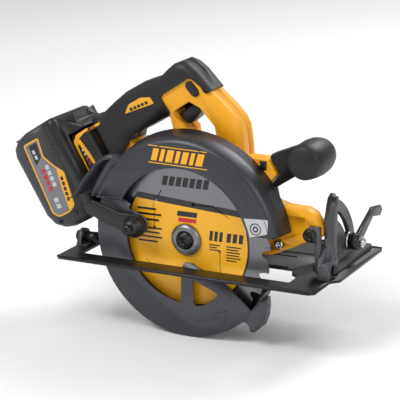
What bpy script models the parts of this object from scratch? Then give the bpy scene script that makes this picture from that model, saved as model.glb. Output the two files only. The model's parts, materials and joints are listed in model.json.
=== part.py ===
"""Cordless circular saw, 184 mm blade on the right-hand side, as an assembly of separate pieces.

World frame: +X is the cutting direction, +Y points from the blade to the motor, +Z is up. The sole of
the shoe lies in Z = 0, the arbor axis crosses X = 0 and the handle's middle plane is Y = 0.
All dimensions below are millimetres; MM turns them into Blender's metres.
"""

import math

import bmesh
import bpy
from mathutils import Matrix, Vector

MM = 0.001
GAP = 0.3  # clearance kept between pieces that touch

# --- Driving dimensions -------------------------------------------------------------------------
BLADE_RADIUS = 92.0
BLADE_TEETH = 24
BLADE_THICKNESS = 1.8
BORE_RADIUS = 8.0
BLADE_Y = -45.0
CUT_DEPTH = 65.0
ARBOR_Z = BLADE_RADIUS - CUT_DEPTH

GUARD_FACE_Y = -58.2
GUARD_BACK_Y = -31.0
GUARD_FACE_RADIUS = 103.4
GUARD_BACK_RADIUS = 108.2
GUARD_WINDOW_RADIUS = 75.0
LOWER_RADIUS = 97.3
LOWER_FACE_Y = -54.2
LOWER_BACK_Y = -36.5
LOWER_WALL = 2.0
KNOB = (-50.5, 38.8)

GEAR_MODULE = 1.0
GEAR_TEETH = 38
PINION_TEETH = 8
GEAR_DISTANCE = GEAR_MODULE * (GEAR_TEETH + PINION_TEETH) / 2
MOTOR_ANGLE = 55.0  # of the motor axis above the horizontal, seen from the arbor
MOTOR_X = GEAR_DISTANCE * math.cos(math.radians(MOTOR_ANGLE))
MOTOR_Z = ARBOR_Z + GEAR_DISTANCE * math.sin(math.radians(MOTOR_ANGLE))
MOTOR_RADIUS = 39.0
MOTOR_WALL = 2.5

SHOE_REAR_X = -134.0
SHOE_FRONT_X = 158.5
SHOE_NEAR_Y = -79.0
SHOE_FAR_Y = 72.0
SHOE_THICKNESS = 2.6

DEPTH_X = 130.0  # depth pivot, axis along Y
DEPTH_Z = 45.0
BEVEL_Y = -30.0  # bevel pivot, axis along X
BEVEL_Z = 10.0
BEVEL_SLOT_RADIUS = 53.0
DEPTH_ARM_RADIUS = 190.0
DEPTH_LOCK_ANGLE = 185.5
DEPTH_LOCK = (
    DEPTH_X + DEPTH_ARM_RADIUS * math.cos(math.radians(DEPTH_LOCK_ANGLE)),
    DEPTH_Z + DEPTH_ARM_RADIUS * math.sin(math.radians(DEPTH_LOCK_ANGLE)),
)
BEVEL_BOLT_ANGLE = 15.0  # of the lock bolt about the bevel axis with the blade upright
SPINDLE_LOCK = (78.0, -26.0, 105.5)
SHELL_SCREWS = ((36.0, 96.0), (-100.0, 107.0))

TRIGGER_LEAN = 42.0  # of the trigger's travel, back from straight up

SHELL_HALF_WIDTH = 15.5
GRIP_HALF_WIDTH = 17.6
SHELL_WALL = 3.0
SHELL_ROUNDING = 6.0

PACK_LEAN = 30.0  # the battery's long axis leans back from the vertical by this angle
PACK_TOP = 196.0
PACK_BOTTOM = 86.5
PACK_FRONT = -70.8
PACK_REAR = -136.0
PACK_SEAM = -86.0
PACK_WALL = 3.0
LATCH_TOP = (192.5, -71.5)
LATCH_TIP = (176.0, -51.0)
PACK_HALF_WIDTH = 37.0
FOOT_TOP = 170.0
FOOT_BOTTOM = 92.0

YELLOW = (0.93, 0.46, 0.012)
GUARD_GREY = (0.060, 0.064, 0.072)
CAST_GREY = (0.115, 0.120, 0.128)
BLACK = (0.012, 0.012, 0.014)
RUBBER_BLACK = (0.016, 0.015, 0.018)
STEEL = (0.55, 0.55, 0.56)
DARK_STEEL = (0.10, 0.10, 0.11)
COPPER = (0.55, 0.22, 0.08)


# --- Scene and material helpers -----------------------------------------------------------------
def clear_scene():
    for old in list(bpy.data.objects):
        bpy.data.objects.remove(old, do_unlink=True)


def new_collection(name, hidden=False):
    collection = bpy.data.collections.new(name)
    bpy.context.scene.collection.children.link(collection)
    collection.hide_render = hidden
    return collection


clear_scene()
PARTS = new_collection("circular_saw")
CUTTERS = new_collection("cutters", hidden=True)


def material(name, color, roughness, metallic=0.0):
    found = bpy.data.materials.get(name)
    if found:
        return found
    made = bpy.data.materials.new(name)
    made.use_nodes = True
    shader = made.node_tree.nodes["Principled BSDF"]
    shader.inputs["Base Color"].default_value = (*color, 1.0)
    shader.inputs["Roughness"].default_value = roughness
    shader.inputs["Metallic"].default_value = metallic
    made.diffuse_color = (*color, 1.0)
    return made


def yellow_plastic():
    return material("yellow_plastic", YELLOW, 0.35)


def black_plastic():
    return material("black_plastic", BLACK, 0.5)


def black_rubber():
    return material("black_rubber", RUBBER_BLACK, 0.7)


def guard_paint():
    return material("guard_paint", GUARD_GREY, 0.4, 0.3)


def cast_metal():
    return material("cast_metal", CAST_GREY, 0.45, 0.6)


def steel():
    return material("steel", STEEL, 0.3, 1.0)


def dark_steel():
    return material("dark_steel", DARK_STEEL, 0.4, 0.8)


def copper():
    return material("copper", COPPER, 0.4, 1.0)


# --- Geometry helpers (millimetres in, metres out) ------------------------------------------------
def arc(cx, cz, radius, start, end, count):
    """Points along an arc; angles in degrees from the first axis towards the second."""
    steps = [start + (end - start) * i / (count - 1) for i in range(count)]
    return [
        (cx + radius * math.cos(math.radians(a)), cz + radius * math.sin(math.radians(a))) for a in steps
    ]


def circle(cx, cz, radius, count=24):
    return arc(cx, cz, radius, 0.0, 360.0 * (count - 1) / count, count)


def rectangle(left, low, right, high):
    return [(left, low), (right, low), (right, high), (left, high)]


def slot(cx, cz, radius, start, end, half_width, count=8):
    """An arc-shaped slot with round ends."""
    outer = arc(cx, cz, radius + half_width, start, end, count)
    inner = arc(cx, cz, radius - half_width, end, start, count)
    tip = arc(cx, cz, radius, end, end, 2)[0]
    foot = arc(cx, cz, radius, start, start, 2)[0]
    round_end = arc(*tip, half_width, end, end + 180.0, 6)[1:-1]
    round_start = arc(*foot, half_width, start - 180.0, start, 6)[1:-1]
    return outer + round_end + inner + round_start


def inset(outline, distance):
    """The outline moved inwards (or outwards when negative) with mitred corners."""
    count = len(outline)
    area = sum(
        outline[i][0] * outline[(i + 1) % count][1] - outline[(i + 1) % count][0] * outline[i][1]
        for i in range(count)
    )
    side = distance if area > 0 else -distance
    moved = []
    for i in range(count):
        before = Vector(outline[i - 1])
        here = Vector(outline[i])
        after = Vector(outline[(i + 1) % count])
        first = (here - before).normalized()
        second = (after - here).normalized()
        normal_1 = Vector((-first.y, first.x))
        normal_2 = Vector((-second.y, second.x))
        bisector = (normal_1 + normal_2).normalized()
        moved.append(tuple(here + bisector * side / max(0.4, bisector.dot(normal_1))))
    return moved


def mesh_object(name, mesh, look, collection=None):
    obj = bpy.data.objects.new(name, mesh)
    (collection or PARTS).objects.link(obj)
    mesh.materials.clear()
    mesh.materials.append(look)
    return obj


def finish_mesh(mesh, matrix):
    """Moves the mesh by the matrix, welds it, merges flat faces and turns the faces outwards."""
    work = bmesh.new()
    work.from_mesh(mesh)
    bmesh.ops.transform(work, matrix=matrix, verts=work.verts)
    bmesh.ops.remove_doubles(work, verts=work.verts, dist=0.00001)
    bmesh.ops.dissolve_limit(work, angle_limit=0.01, verts=work.verts, edges=work.edges)
    bmesh.ops.recalc_face_normals(work, faces=work.faces)
    work.to_mesh(mesh)
    work.free()


STAND = {
    "X": Matrix(((0, 0, 1, 0), (1, 0, 0, 0), (0, 1, 0, 0), (0, 0, 0, 1))),
    "Y": Matrix(((1, 0, 0, 0), (0, 0, -1, 0), (0, 1, 0, 0), (0, 0, 0, 1))),
    "Z": Matrix.Identity(4),
}


def plate(name, outline, low, high, look, axis="Y", holes=(), bevel=0.0, cutter=False):
    """A flat outline with optional holes, extruded from low to high along the axis."""
    curve = bpy.data.curves.new(name, "CURVE")
    curve.dimensions = "2D"
    curve.fill_mode = "BOTH"
    curve.extrude = (high - low) / 2 * MM
    for ring in (outline, *holes):
        spline = curve.splines.new("POLY")
        spline.points.add(len(ring) - 1)
        for point, (a, b) in zip(spline.points, ring):
            point.co = (a * MM, b * MM, 0.0, 1.0)
        spline.use_cyclic_u = True
    guide = bpy.data.objects.new(name + "_guide", curve)
    CUTTERS.objects.link(guide)
    bpy.context.view_layer.update()
    graph = bpy.context.evaluated_depsgraph_get()
    mesh = bpy.data.meshes.new_from_object(guide.evaluated_get(graph))
    mesh.name = name
    bpy.data.objects.remove(guide)
    middle = (low + high) / 2 * MM
    shift = {"X": (middle, 0, 0), "Y": (0, middle, 0), "Z": (0, 0, middle)}[axis]
    finish_mesh(mesh, Matrix.Translation(shift) @ STAND[axis])
    obj = mesh_object(name, mesh, look, CUTTERS if cutter else PARTS)
    if bevel:
        round_edges(obj, bevel)
    return obj


def pillow(name, outline, half_width, radius, look, cutter=False):
    """An outline extruded to both sides of Y = 0, its outer edges rounded by stepped insets."""
    levels = []
    for step in range(4):
        angle = math.radians(30.0 * step)
        levels.append((half_width - radius * (1 - math.cos(angle)), radius * (1 - math.sin(angle))))
    rings = [(y, inset(outline, margin)) for y, margin in levels]
    rings += [(-y, ring) for y, ring in rings[::-1]]
    count = len(outline)
    points = [(x * MM, y * MM, z * MM) for y, ring in rings for x, z in ring]
    faces = [tuple(range(count)), tuple(range(len(points) - count, len(points)))[::-1]]
    for level in range(len(rings) - 1):
        start = level * count
        for i in range(count):
            after = (i + 1) % count
            faces.append((start + i, start + count + i, start + count + after, start + after))
    mesh = bpy.data.meshes.new(name)
    mesh.from_pydata(points, [], faces)
    finish_mesh(mesh, Matrix.Identity(4))
    return mesh_object(name, mesh, look, CUTTERS if cutter else PARTS)


def round_edges(obj, width, segments=2, angle=50.0):
    """A Bevel on the sharp edges."""
    bevel = obj.modifiers.new("round_edges", "BEVEL")
    bevel.width = width * MM
    bevel.segments = segments
    bevel.limit_method = "ANGLE"
    bevel.angle_limit = math.radians(angle)
    return obj


def box(name, size, centre, look, lean=0.0, bevel=0.0, cutter=False):
    """A box; lean turns it about the Y direction through its centre, in degrees."""
    work = bmesh.new()
    bmesh.ops.create_cube(work, size=1.0)
    scale = Matrix.Diagonal((*(side * MM for side in size), 1.0))
    turn = Matrix.Rotation(math.radians(lean), 4, "Y")
    place = Matrix.Translation(Vector(centre) * MM)
    bmesh.ops.transform(work, matrix=place @ turn @ scale, verts=work.verts)
    mesh = bpy.data.meshes.new(name)
    work.to_mesh(mesh)
    work.free()
    obj = mesh_object(name, mesh, look, CUTTERS if cutter else PARTS)
    if bevel:
        round_edges(obj, bevel)
    return obj


def turned(name, profile, centre, look, axis="Y", segments=32, cutter=False):
    """A closed (radius, height) profile turned about the axis through the centre (a, b)."""
    mesh = bpy.data.meshes.new(name)
    rings = len(profile)
    points = [(radius * MM, 0.0, height * MM) for radius, height in profile]
    edges = [(i, (i + 1) % rings) for i in range(rings)]
    mesh.from_pydata(points, edges, [])
    guide = bpy.data.objects.new(name + "_guide", mesh)
    CUTTERS.objects.link(guide)
    screw = guide.modifiers.new("turn", "SCREW")
    screw.steps = segments
    screw.render_steps = segments
    screw.use_merge_vertices = True
    screw.merge_threshold = 0.00001
    bpy.context.view_layer.update()
    graph = bpy.context.evaluated_depsgraph_get()
    turned_mesh = bpy.data.meshes.new_from_object(guide.evaluated_get(graph))
    bpy.data.objects.remove(guide)
    work = bmesh.new()
    work.from_mesh(turned_mesh)
    lone = [edge for edge in work.edges if not edge.link_faces]
    bmesh.ops.delete(work, geom=lone, context="EDGES")
    work.to_mesh(turned_mesh)
    work.free()
    a, b = centre
    if axis == "Y":
        place = Matrix.Translation(Vector((a, 0, b)) * MM) @ Matrix.Rotation(math.radians(-90), 4, "X")
    elif axis == "X":
        place = Matrix.Translation(Vector((0, a, b)) * MM) @ Matrix.Rotation(math.radians(90), 4, "Y")
    else:
        place = Matrix.Translation(Vector((a, b, 0)) * MM)
    finish_mesh(turned_mesh, place)
    return mesh_object(name, turned_mesh, look, CUTTERS if cutter else PARTS)


def disc(name, radius, low, high, centre, look, axis="Y", bore=0.0, segments=32, cutter=False):
    """A plain cylinder or, with a bore, a ring."""
    profile = [(bore, low), (radius, low), (radius, high), (bore, high)]
    return turned(name, profile, centre, look, axis, segments, cutter)


def tube(name, points, radius, look, resolution=2):
    """A round wire along the points."""
    curve = bpy.data.curves.new(name, "CURVE")
    curve.dimensions = "3D"
    curve.bevel_depth = radius * MM
    curve.bevel_resolution = resolution
    curve.use_fill_caps = True
    spline = curve.splines.new("POLY")
    spline.points.add(len(points) - 1)
    for target, point in zip(spline.points, points):
        target.co = (*(Vector(point) * MM), 1.0)
    obj = bpy.data.objects.new(name, curve)
    PARTS.objects.link(obj)
    curve.materials.append(look)
    return obj


def boolean(obj, other, operation):
    step = obj.modifiers.new(operation.lower(), "BOOLEAN")
    step.operation = operation
    step.object = other
    step.solver = "EXACT"
    if other.name in PARTS.objects:
        PARTS.objects.unlink(other)
        CUTTERS.objects.link(other)
    other.hide_render = True
    other.display_type = "WIRE"
    return obj


def cut(obj, *others):
    for other in others:
        boolean(obj, other, "DIFFERENCE")
    return obj


def join(obj, *others):
    for other in others:
        boolean(obj, other, "UNION")
    return obj


def keep(obj, other):
    return boolean(obj, other, "INTERSECT")


def bake(obj):
    """Turns the object's modifiers into a plain welded mesh."""
    bpy.context.view_layer.update()
    graph = bpy.context.evaluated_depsgraph_get()
    mesh = bpy.data.meshes.new_from_object(obj.evaluated_get(graph))
    obj.modifiers.clear()
    obj.data = mesh
    finish_mesh(mesh, Matrix.Identity(4))
    return mesh


def smooth(obj, angle=35.0):
    """Bakes the object and shades its round faces smooth."""
    mesh = bake(obj)
    mesh.shade_smooth()
    mesh.set_sharp_from_angle(angle=math.radians(angle))
    return obj


def pack_point(along, normal):
    """(x, z) of a point given along the battery's long axis (upwards) and square to its rail face."""
    lean = math.radians(PACK_LEAN)
    x = -along * math.sin(lean) + normal * math.cos(lean)
    z = along * math.cos(lean) + normal * math.sin(lean)
    return (x, z)


def pack_block(name, along, normal, half_width, look, bevel=0.0, cutter=False, shift=0.0):
    """A box in the battery's leaning frame: ranges along its axis and square to its rails."""
    x, z = pack_point(sum(along) / 2, sum(normal) / 2)
    size = (normal[1] - normal[0], 2 * half_width, along[1] - along[0])
    return box(name, size, (x, shift, z), look, -PACK_LEAN, bevel, cutter)


def screw_along_y(name, x, z, head_y, length, radius, look, inward=1.0):
    """A pan-head screw along Y with a hex socket in its head; inward is the way its shank points."""
    head = radius * 0.75
    low, high = sorted((head_y, head_y + inward * head))
    obj = disc(name, radius, low, high, (x, z), look, segments=16)
    start = head_y + inward * (head - 0.2)
    low, high = sorted((start, head_y + inward * length))
    join(obj, disc(name + "_shank", radius * 0.5, low, high, (x, z), look, segments=12))
    low, high = sorted((head_y - inward * 1.0, head_y + inward * head * 0.5))
    cut(obj, disc(name + "_socket", radius * 0.45, low, high, (x, z), look, segments=6, cutter=True))
    return smooth(obj)


# --- Guards ---------------------------------------------------------------------------------------
def upper_guard():
    """Cast half disc: window face, rolled rim and back wall, open below, with a dust chute behind."""
    inner_face = GUARD_FACE_Y + 2.5
    inner_back = GUARD_BACK_Y - 2.5
    rim = GUARD_FACE_RADIUS
    profile = [
        (GUARD_WINDOW_RADIUS, GUARD_FACE_Y),
        (rim - 5.0, GUARD_FACE_Y),
        (rim - 1.4, GUARD_FACE_Y + 1.2),
        (rim + 0.6, GUARD_FACE_Y + 4.7),
        (rim + 2.4, GUARD_FACE_Y + 12.0),
        (GUARD_BACK_RADIUS, GUARD_BACK_Y),
        (22.0, GUARD_BACK_Y),
        (22.0, inner_back),
        (rim + 1.4, inner_back),
        (rim - 0.4, GUARD_FACE_Y + 12.0),
        (rim - 2.2, GUARD_FACE_Y + 5.5),
        (rim - 4.0, inner_face),
        (GUARD_WINDOW_RADIUS, inner_face),
    ]
    look = guard_paint()
    guard = turned("upper_guard", profile, (0.0, ARBOR_Z), look, segments=72)
    front_z = 43.0
    rear_z = 63.0
    region = [(-130.0, rear_z), (-40.0, rear_z), (-31.0, ARBOR_Z)]
    region += arc(0.0, ARBOR_Z, 31.0, 190.0, 350.0, 9)
    region += [(31.0, ARBOR_Z), (48.0, front_z), (130.0, front_z), (130.0, 150.0), (-130.0, 150.0)]
    keep(guard, plate("guard_region", region, -70.0, -20.0, look, cutter=True))
    chute_outer = [(-76.0, 108.0), (-88.0, 104.5), (-96.0, 97.0), (-110.0, 81.0), (-126.5, 58.5)]
    chute_back_y = -38.6
    chute_inner_arc = arc(0.0, ARBOR_Z, 101.0, 158.0, 131.0, 8)
    chute = plate("dust_chute", chute_outer + chute_inner_arc, GUARD_FACE_Y, chute_back_y, look)
    cavity_arc = arc(0.0, ARBOR_Z, 107.5, 170.0, 134.0, 8)
    cavity = [(-86.0, 101.5), (-94.5, 94.5), (-107.7, 79.5), (-127.0, 53.0)] + cavity_arc
    join(guard, chute)
    cut(guard, plate("chute_cavity", cavity, GUARD_FACE_Y - 5.0, chute_back_y - 2.4, look, cutter=True))
    return smooth(guard, 30.0)


def lower_guard():
    """Retracting guard: a channel round the rim, a near face with spoke and windows, and a hook."""
    look = guard_paint()
    wall = LOWER_WALL
    profile = [
        (LOWER_RADIUS - wall - 0.3, LOWER_FACE_Y + 1.7),
        (LOWER_RADIUS, LOWER_FACE_Y + 1.7),
        (LOWER_RADIUS, LOWER_BACK_Y),
        (24.0, LOWER_BACK_Y),
        (24.0, LOWER_BACK_Y + 2.2),
        (18.0, LOWER_BACK_Y + 2.2),
        (18.0, LOWER_BACK_Y - wall),
        (LOWER_RADIUS - wall - 0.3, LOWER_BACK_Y - wall),
    ]
    guard = turned("lower_guard", profile, (0.0, ARBOR_Z), look, segments=60)
    wedge = arc(0.0, ARBOR_Z, 26.0, -27.0, 152.0, 14) + arc(0.0, ARBOR_Z, 130.0, 152.0, -27.0, 14)
    cut(guard, plate("guard_wedge", wedge, -60.0, -30.0, look, cutter=True))
    face = arc(0.0, ARBOR_Z, LOWER_RADIUS + 0.4, 151.4, 320.0, 34)
    face += [(44.4, -9.4), (14.0, 3.0), (10.0, 5.5), (1.0, 5.5), (-3.0, -1.0)]
    face += arc(0.0, ARBOR_Z, 64.0, 266.0, 182.0, 14)
    face += arc(*KNOB, 11.0, -125.0, 75.0, 9) + arc(0.0, ARBOR_Z, 66.0, 156.0, 151.4, 2)
    triangle = [(9.4, -11.2), (30.0, -19.0), (36.7, -22.5), (35.0, -27.0), (20.0, -36.5), (12.5, -38.5)]
    triangle += [(9.2, -35.6)]
    near = plate("near_face", face, LOWER_FACE_Y, LOWER_FACE_Y + wall, look, holes=[triangle])
    hook = [(67.3, -47.6), (70.5, -51.0), (71.4, -56.0), (75.5, -56.4), (80.2, -52.6)]
    hook += [(84.6, -42.5), (86.2, -32.0), (85.6, -22.5)]
    hook += arc(0.0, ARBOR_Z, LOWER_RADIUS - 1.3, -32.0, -50.0, 5)
    nose = plate("guard_hook", hook, LOWER_FACE_Y + 0.1, LOWER_BACK_Y - 0.1, look)
    join(guard, near, nose)
    return smooth(guard, 30.0)


def guard_lever():
    """Thumb lever of the lower guard: a flat arm outside the upper guard's face and its round head."""
    look = black_plastic()
    arm = [(-93.0, 41.5), (-106.5, 49.0), (-108.5, 56.0), (-97.0, 60.5), (-66.8, 50.8)]
    arm += arc(*KNOB, 12.0, 100.0, -140.0, 12)
    lever = plate("guard_lever", arm, -62.0, -58.6, look, bevel=0.8)
    boss = disc("lever_boss", 10.5, -58.8, LOWER_FACE_Y - GAP, KNOB, look, segments=20)
    join(lever, boss)
    cut(lever, disc("lever_bore", 4.2, -70.0, -50.0, KNOB, look, segments=16, cutter=True))
    return smooth(lever)


def guard_knob():
    """Stepped knob on the lever, held by a socket screw."""
    profile = [(3.2, -62.3), (11.5, -62.3), (10.8, -64.5), (7.6, -67.5), (6.6, -72.1), (3.2, -72.1)]
    return smooth(turned("guard_knob", profile[::-1], KNOB, black_plastic(), segments=24))


def guard_knob_screw():
    return screw_along_y("guard_knob_screw", *KNOB, -76.2, 20.8, 5.0, dark_steel())


def guard_return_spring():
    """Torsion spring round the hub, between the lower guard's hub and the upper guard's back wall."""
    turns = 2
    per_turn = 14
    wire = 0.38
    points = []
    for i in range(turns * per_turn + 1):
        angle = 2 * math.pi * i / per_turn
        y = LOWER_BACK_Y + 0.7 + 0.85 * i / per_turn
        points.append((27.5 * math.cos(angle), y, ARBOR_Z + 27.5 * math.sin(angle)))
    return tube("guard_return_spring", points, wire, steel(), 1)


# --- Blade and drive --------------------------------------------------------------------------------
def blade():
    """Toothed disc: each tooth has a steep front, a tip, a long back and a round gullet."""
    pitch = 360.0 / BLADE_TEETH
    rim = []
    # Seen along +Y the blade turns anticlockwise, so each tooth faces the growing angle.
    for tooth in range(BLADE_TEETH):
        base = tooth * pitch
        steps = ((0.03, 0.0), (0.10, -6.0), (0.20, -9.6), (0.34, -9.0), (0.50, -3.4), (1.00, -1.6))
        for share, drop in steps:
            angle = math.radians(base + share * pitch)
            radius = BLADE_RADIUS + drop
            rim.append((radius * math.cos(angle), ARBOR_Z + radius * math.sin(angle)))
    half = BLADE_THICKNESS / 2
    bore = circle(0.0, ARBOR_Z, BORE_RADIUS + GAP, 24)
    return smooth(plate("blade", rim, BLADE_Y - half, BLADE_Y + half, steel(), holes=[bore]))


def outer_flange():
    profile = [(8.4, -49.4), (9.5, -50.6), (13.0, -50.6), (16.2, -48.2), (16.2, -46.2), (8.4, -46.2)]
    return smooth(turned("outer_flange", profile, (0.0, ARBOR_Z), cast_metal(), segments=32))


def inner_flange():
    return smooth(disc("inner_flange", 17.0, -43.8, -39.6, (0.0, ARBOR_Z), steel(), bore=8.2))


def blade_bolt():
    """Hex-socket bolt that clamps the blade."""
    bolt = disc("blade_bolt", 7.7, -54.0, -49.9, (0.0, ARBOR_Z), dark_steel(), segments=12)
    join(bolt, disc("bolt_shank", 4.0, -50.2, -32.0, (0.0, ARBOR_Z), dark_steel(), segments=16))
    join(bolt, disc("bolt_step", 7.9, -50.1, -46.3, (0.0, ARBOR_Z), dark_steel(), segments=24))
    cut(bolt, disc("bolt_socket", 3.6, -56.0, -51.0, (0.0, ARBOR_Z), steel(), segments=6, cutter=True))
    return smooth(bolt)


def spindle():
    """Blade shaft: a seat for the blade, two bearing seats and the gear seat, bored for the bolt."""
    profile = [(7.9, -45.9), (7.9, -27.6), (9.4, -27.6), (9.4, -24.5), (7.0, -24.5), (7.0, -6.7)]
    profile += [(0.0, -6.7), (0.0, -31.0), (4.3, -31.0), (4.3, -45.9)]
    return smooth(turned("spindle", profile, (0.0, ARBOR_Z), steel(), segments=24))


def gear_outline(centre, teeth, phase):
    """Trapezoid teeth of standard addendum and dedendum."""
    pitch_radius = GEAR_MODULE * teeth / 2
    outline = []
    steps = ((-0.30, -1.2), (-0.12, 0.95), (0.12, 0.95), (0.30, -1.2))
    for tooth in range(teeth):
        for share, height in steps:
            angle = math.radians(phase + (tooth + share) * 360.0 / teeth)
            radius = pitch_radius + height * GEAR_MODULE
            outline.append((centre[0] + radius * math.cos(angle), centre[1] + radius * math.sin(angle)))
    return outline


def drive_gear():
    rim = gear_outline((0.0, ARBOR_Z), GEAR_TEETH, MOTOR_ANGLE)
    bore = circle(0.0, ARBOR_Z, 7.3, 20)
    return smooth(plate("drive_gear", rim, -23.8, -15.8, dark_steel(), holes=[bore]), 20.0)


def motor_shaft():
    """Rotor shaft with the pinion cut at its blade end."""
    centre = (MOTOR_X, MOTOR_Z)
    profile = [(0.0, -26.0), (2.6, -26.0), (2.6, -13.6), (3.9, -13.6), (3.9, 57.0), (0.0, 57.0)]
    shaft = turned("motor_shaft", profile[::-1], centre, steel(), segments=16)
    half_pitch = 180.0 / PINION_TEETH
    rim = gear_outline(centre, PINION_TEETH, MOTOR_ANGLE + 180.0 + half_pitch)
    join(shaft, plate("pinion", rim, -24.6, -15.0, steel()))
    return smooth(shaft, 20.0)


def rotor_core():
    return smooth(disc("rotor_core", 18.0, 4.0, 36.0, (MOTOR_X, MOTOR_Z), dark_steel(), bore=4.2))


def stator():
    """Laminated ring with slots between its poles, and end windings proud of both faces."""
    poles = 6
    ring = disc("stator", MOTOR_RADIUS - MOTOR_WALL - GAP, 3.0, 37.0, (MOTOR_X, MOTOR_Z), copper(), bore=18.8)
    for pole in range(poles):
        angle = 360.0 * pole / poles
        x = MOTOR_X + 24.0 * math.cos(math.radians(angle))
        z = MOTOR_Z + 24.0 * math.sin(math.radians(angle))
        cut(ring, box(f"stator_slot_{pole}", (14.0, 60.0, 3.0), (x, 20.0, z), copper(), -angle, cutter=True))
    return smooth(ring)


def cooling_fan():
    """Radial fan: a back plate, a hub and straight vanes."""
    vanes = 9
    centre = (MOTOR_X, MOTOR_Z)
    fan = disc("cooling_fan", 31.0, 39.0, 40.6, centre, black_plastic(), bore=4.2, segments=28)
    join(fan, disc("fan_hub", 8.0, 40.0, 47.0, centre, black_plastic(), bore=4.2, segments=20))
    for vane in range(vanes):
        angle = 360.0 * vane / vanes
        x = MOTOR_X + 21.0 * math.cos(math.radians(angle))
        z = MOTOR_Z + 21.0 * math.sin(math.radians(angle))
        vane_box = box(f"fan_vane_{vane}", (18.0, 7.0, 1.6), (x, 43.7, z), black_plastic(), -angle)
        join(fan, vane_box)
    return smooth(fan)


def bearing(name, outer, bore, low, high, centre):
    return smooth(disc(name, outer, low, high, centre, steel(), bore=bore, segments=24))


def bearings():
    arbor = (0.0, ARBOR_Z)
    motor = (MOTOR_X, MOTOR_Z)
    bearing("spindle_front_bearing", 13.0, 8.2, -37.0, -29.0, arbor)
    bearing("spindle_rear_bearing", 11.0, 7.3, -11.6, -6.6, arbor)
    bearing("motor_front_bearing", 8.0, 4.2, -11.6, -6.6, motor)
    bearing("motor_rear_bearing", 9.5, 4.2, 49.5, 56.0, motor)


# --- Gear case and motor housing ----------------------------------------------------------------------
def case_outline(extra):
    """Hull of a circle about the arbor and one about the pinion."""
    arbor_radius = 21.0 + extra
    pinion_radius = 12.0 + extra
    lean = MOTOR_ANGLE - 90.0
    spread = math.degrees(math.asin((arbor_radius - pinion_radius) / GEAR_DISTANCE))
    lower = arc(0.0, ARBOR_Z, arbor_radius, lean + 180.0 - spread, lean + 360.0 + spread, 18)
    upper = arc(MOTOR_X, MOTOR_Z, pinion_radius, lean + spread, lean + 180.0 - spread, 9)
    return lower + upper


def gear_case():
    """Cup that holds the gears, its bearing boss through the guard and the lug of the depth lock."""
    look = cast_metal()
    case = plate("gear_case", case_outline(2.2), -30.7, -12.0, look)
    boss_profile = [(9.0, -38.6), (17.6, -38.6), (17.6, -28.0), (9.0, -28.0)]
    join(case, turned("case_boss", boss_profile, (0.0, ARBOR_Z), look, segments=32))
    x, z = DEPTH_LOCK
    lug = [(-15.0, z - 9.0), (x - 7.0, z - 7.5), (x - 7.0, z + 8.5), (-15.0, z + 14.0)]
    join(case, plate("depth_lug", lug, -25.3, -19.6, look))
    cut(case, plate("gear_room", case_outline(-0.2), -28.3, -5.0, look, cutter=True))
    cut(case, disc("bearing_seat", 13.3, -37.3, -20.0, (0.0, ARBOR_Z), look, cutter=True))
    cut(case, disc("shaft_lip", 10.0, -45.0, -20.0, (0.0, ARBOR_Z), look, cutter=True))
    cut(case, disc("lug_bore", 3.2, -40.0, -10.0, DEPTH_LOCK, look, segments=16, cutter=True))
    return smooth(case)


def bearing_plate():
    """Cover of the gear case and front plate of the motor, with both inner bearing seats."""
    look = cast_metal()
    cover = disc("bearing_plate", MOTOR_RADIUS, -11.7, -8.2, (MOTOR_X, MOTOR_Z), look, segments=40)
    join(cover, disc("arbor_pad", 13.2, -11.7, -5.6, (0.0, ARBOR_Z), look, segments=28))
    join(cover, disc("motor_pad", 11.5, -11.7, -5.6, (MOTOR_X, MOTOR_Z), look, segments=28))
    cut(cover, disc("arbor_seat", 11.3, -13.0, -6.3, (0.0, ARBOR_Z), look, cutter=True))
    cut(cover, disc("motor_seat", 8.3, -13.0, -6.3, (MOTOR_X, MOTOR_Z), look, cutter=True))
    cut(cover, disc("shaft_hole", 4.6, -13.0, 0.0, (MOTOR_X, MOTOR_Z), look, cutter=True))
    return smooth(cover)


def motor_housing():
    """Yellow drum round the motor."""
    outer = MOTOR_RADIUS
    inner = MOTOR_RADIUS - MOTOR_WALL
    profile = [(inner, -7.9), (outer, -7.9), (outer, 44.7), (inner, 44.7)]
    return smooth(turned("motor_housing", profile, (MOTOR_X, MOTOR_Z), yellow_plastic(), segments=48))


def motor_end_cap():
    """Black cap with a bearing seat and a ring of air slots."""
    look = black_plastic()
    centre = (MOTOR_X, MOTOR_Z)
    outer = MOTOR_RADIUS
    profile = [(outer - 2.5, 45.0), (outer, 45.0), (outer, 57.0), (outer - 2.0, 60.5), (outer - 6.0, 62.0)]
    profile += [(0.0, 62.0), (0.0, 58.0), (9.8, 58.0), (9.8, 49.6), (12.5, 49.6), (12.5, 59.0)]
    profile += [(outer - 6.5, 59.0), (outer - 3.5, 57.5), (outer - 2.5, 56.0)]
    cap = turned("motor_end_cap", profile, centre, look, segments=48)
    slots = 12
    for index in range(slots):
        angle = 360.0 * index / slots
        x = MOTOR_X + 24.0 * math.cos(math.radians(angle))
        z = MOTOR_Z + 24.0 * math.sin(math.radians(angle))
        cut(cap, box(f"cap_slot_{index}", (14.0, 12.0, 4.0), (x, 60.0, z), look, -angle, cutter=True))
    return smooth(cap)


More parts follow.
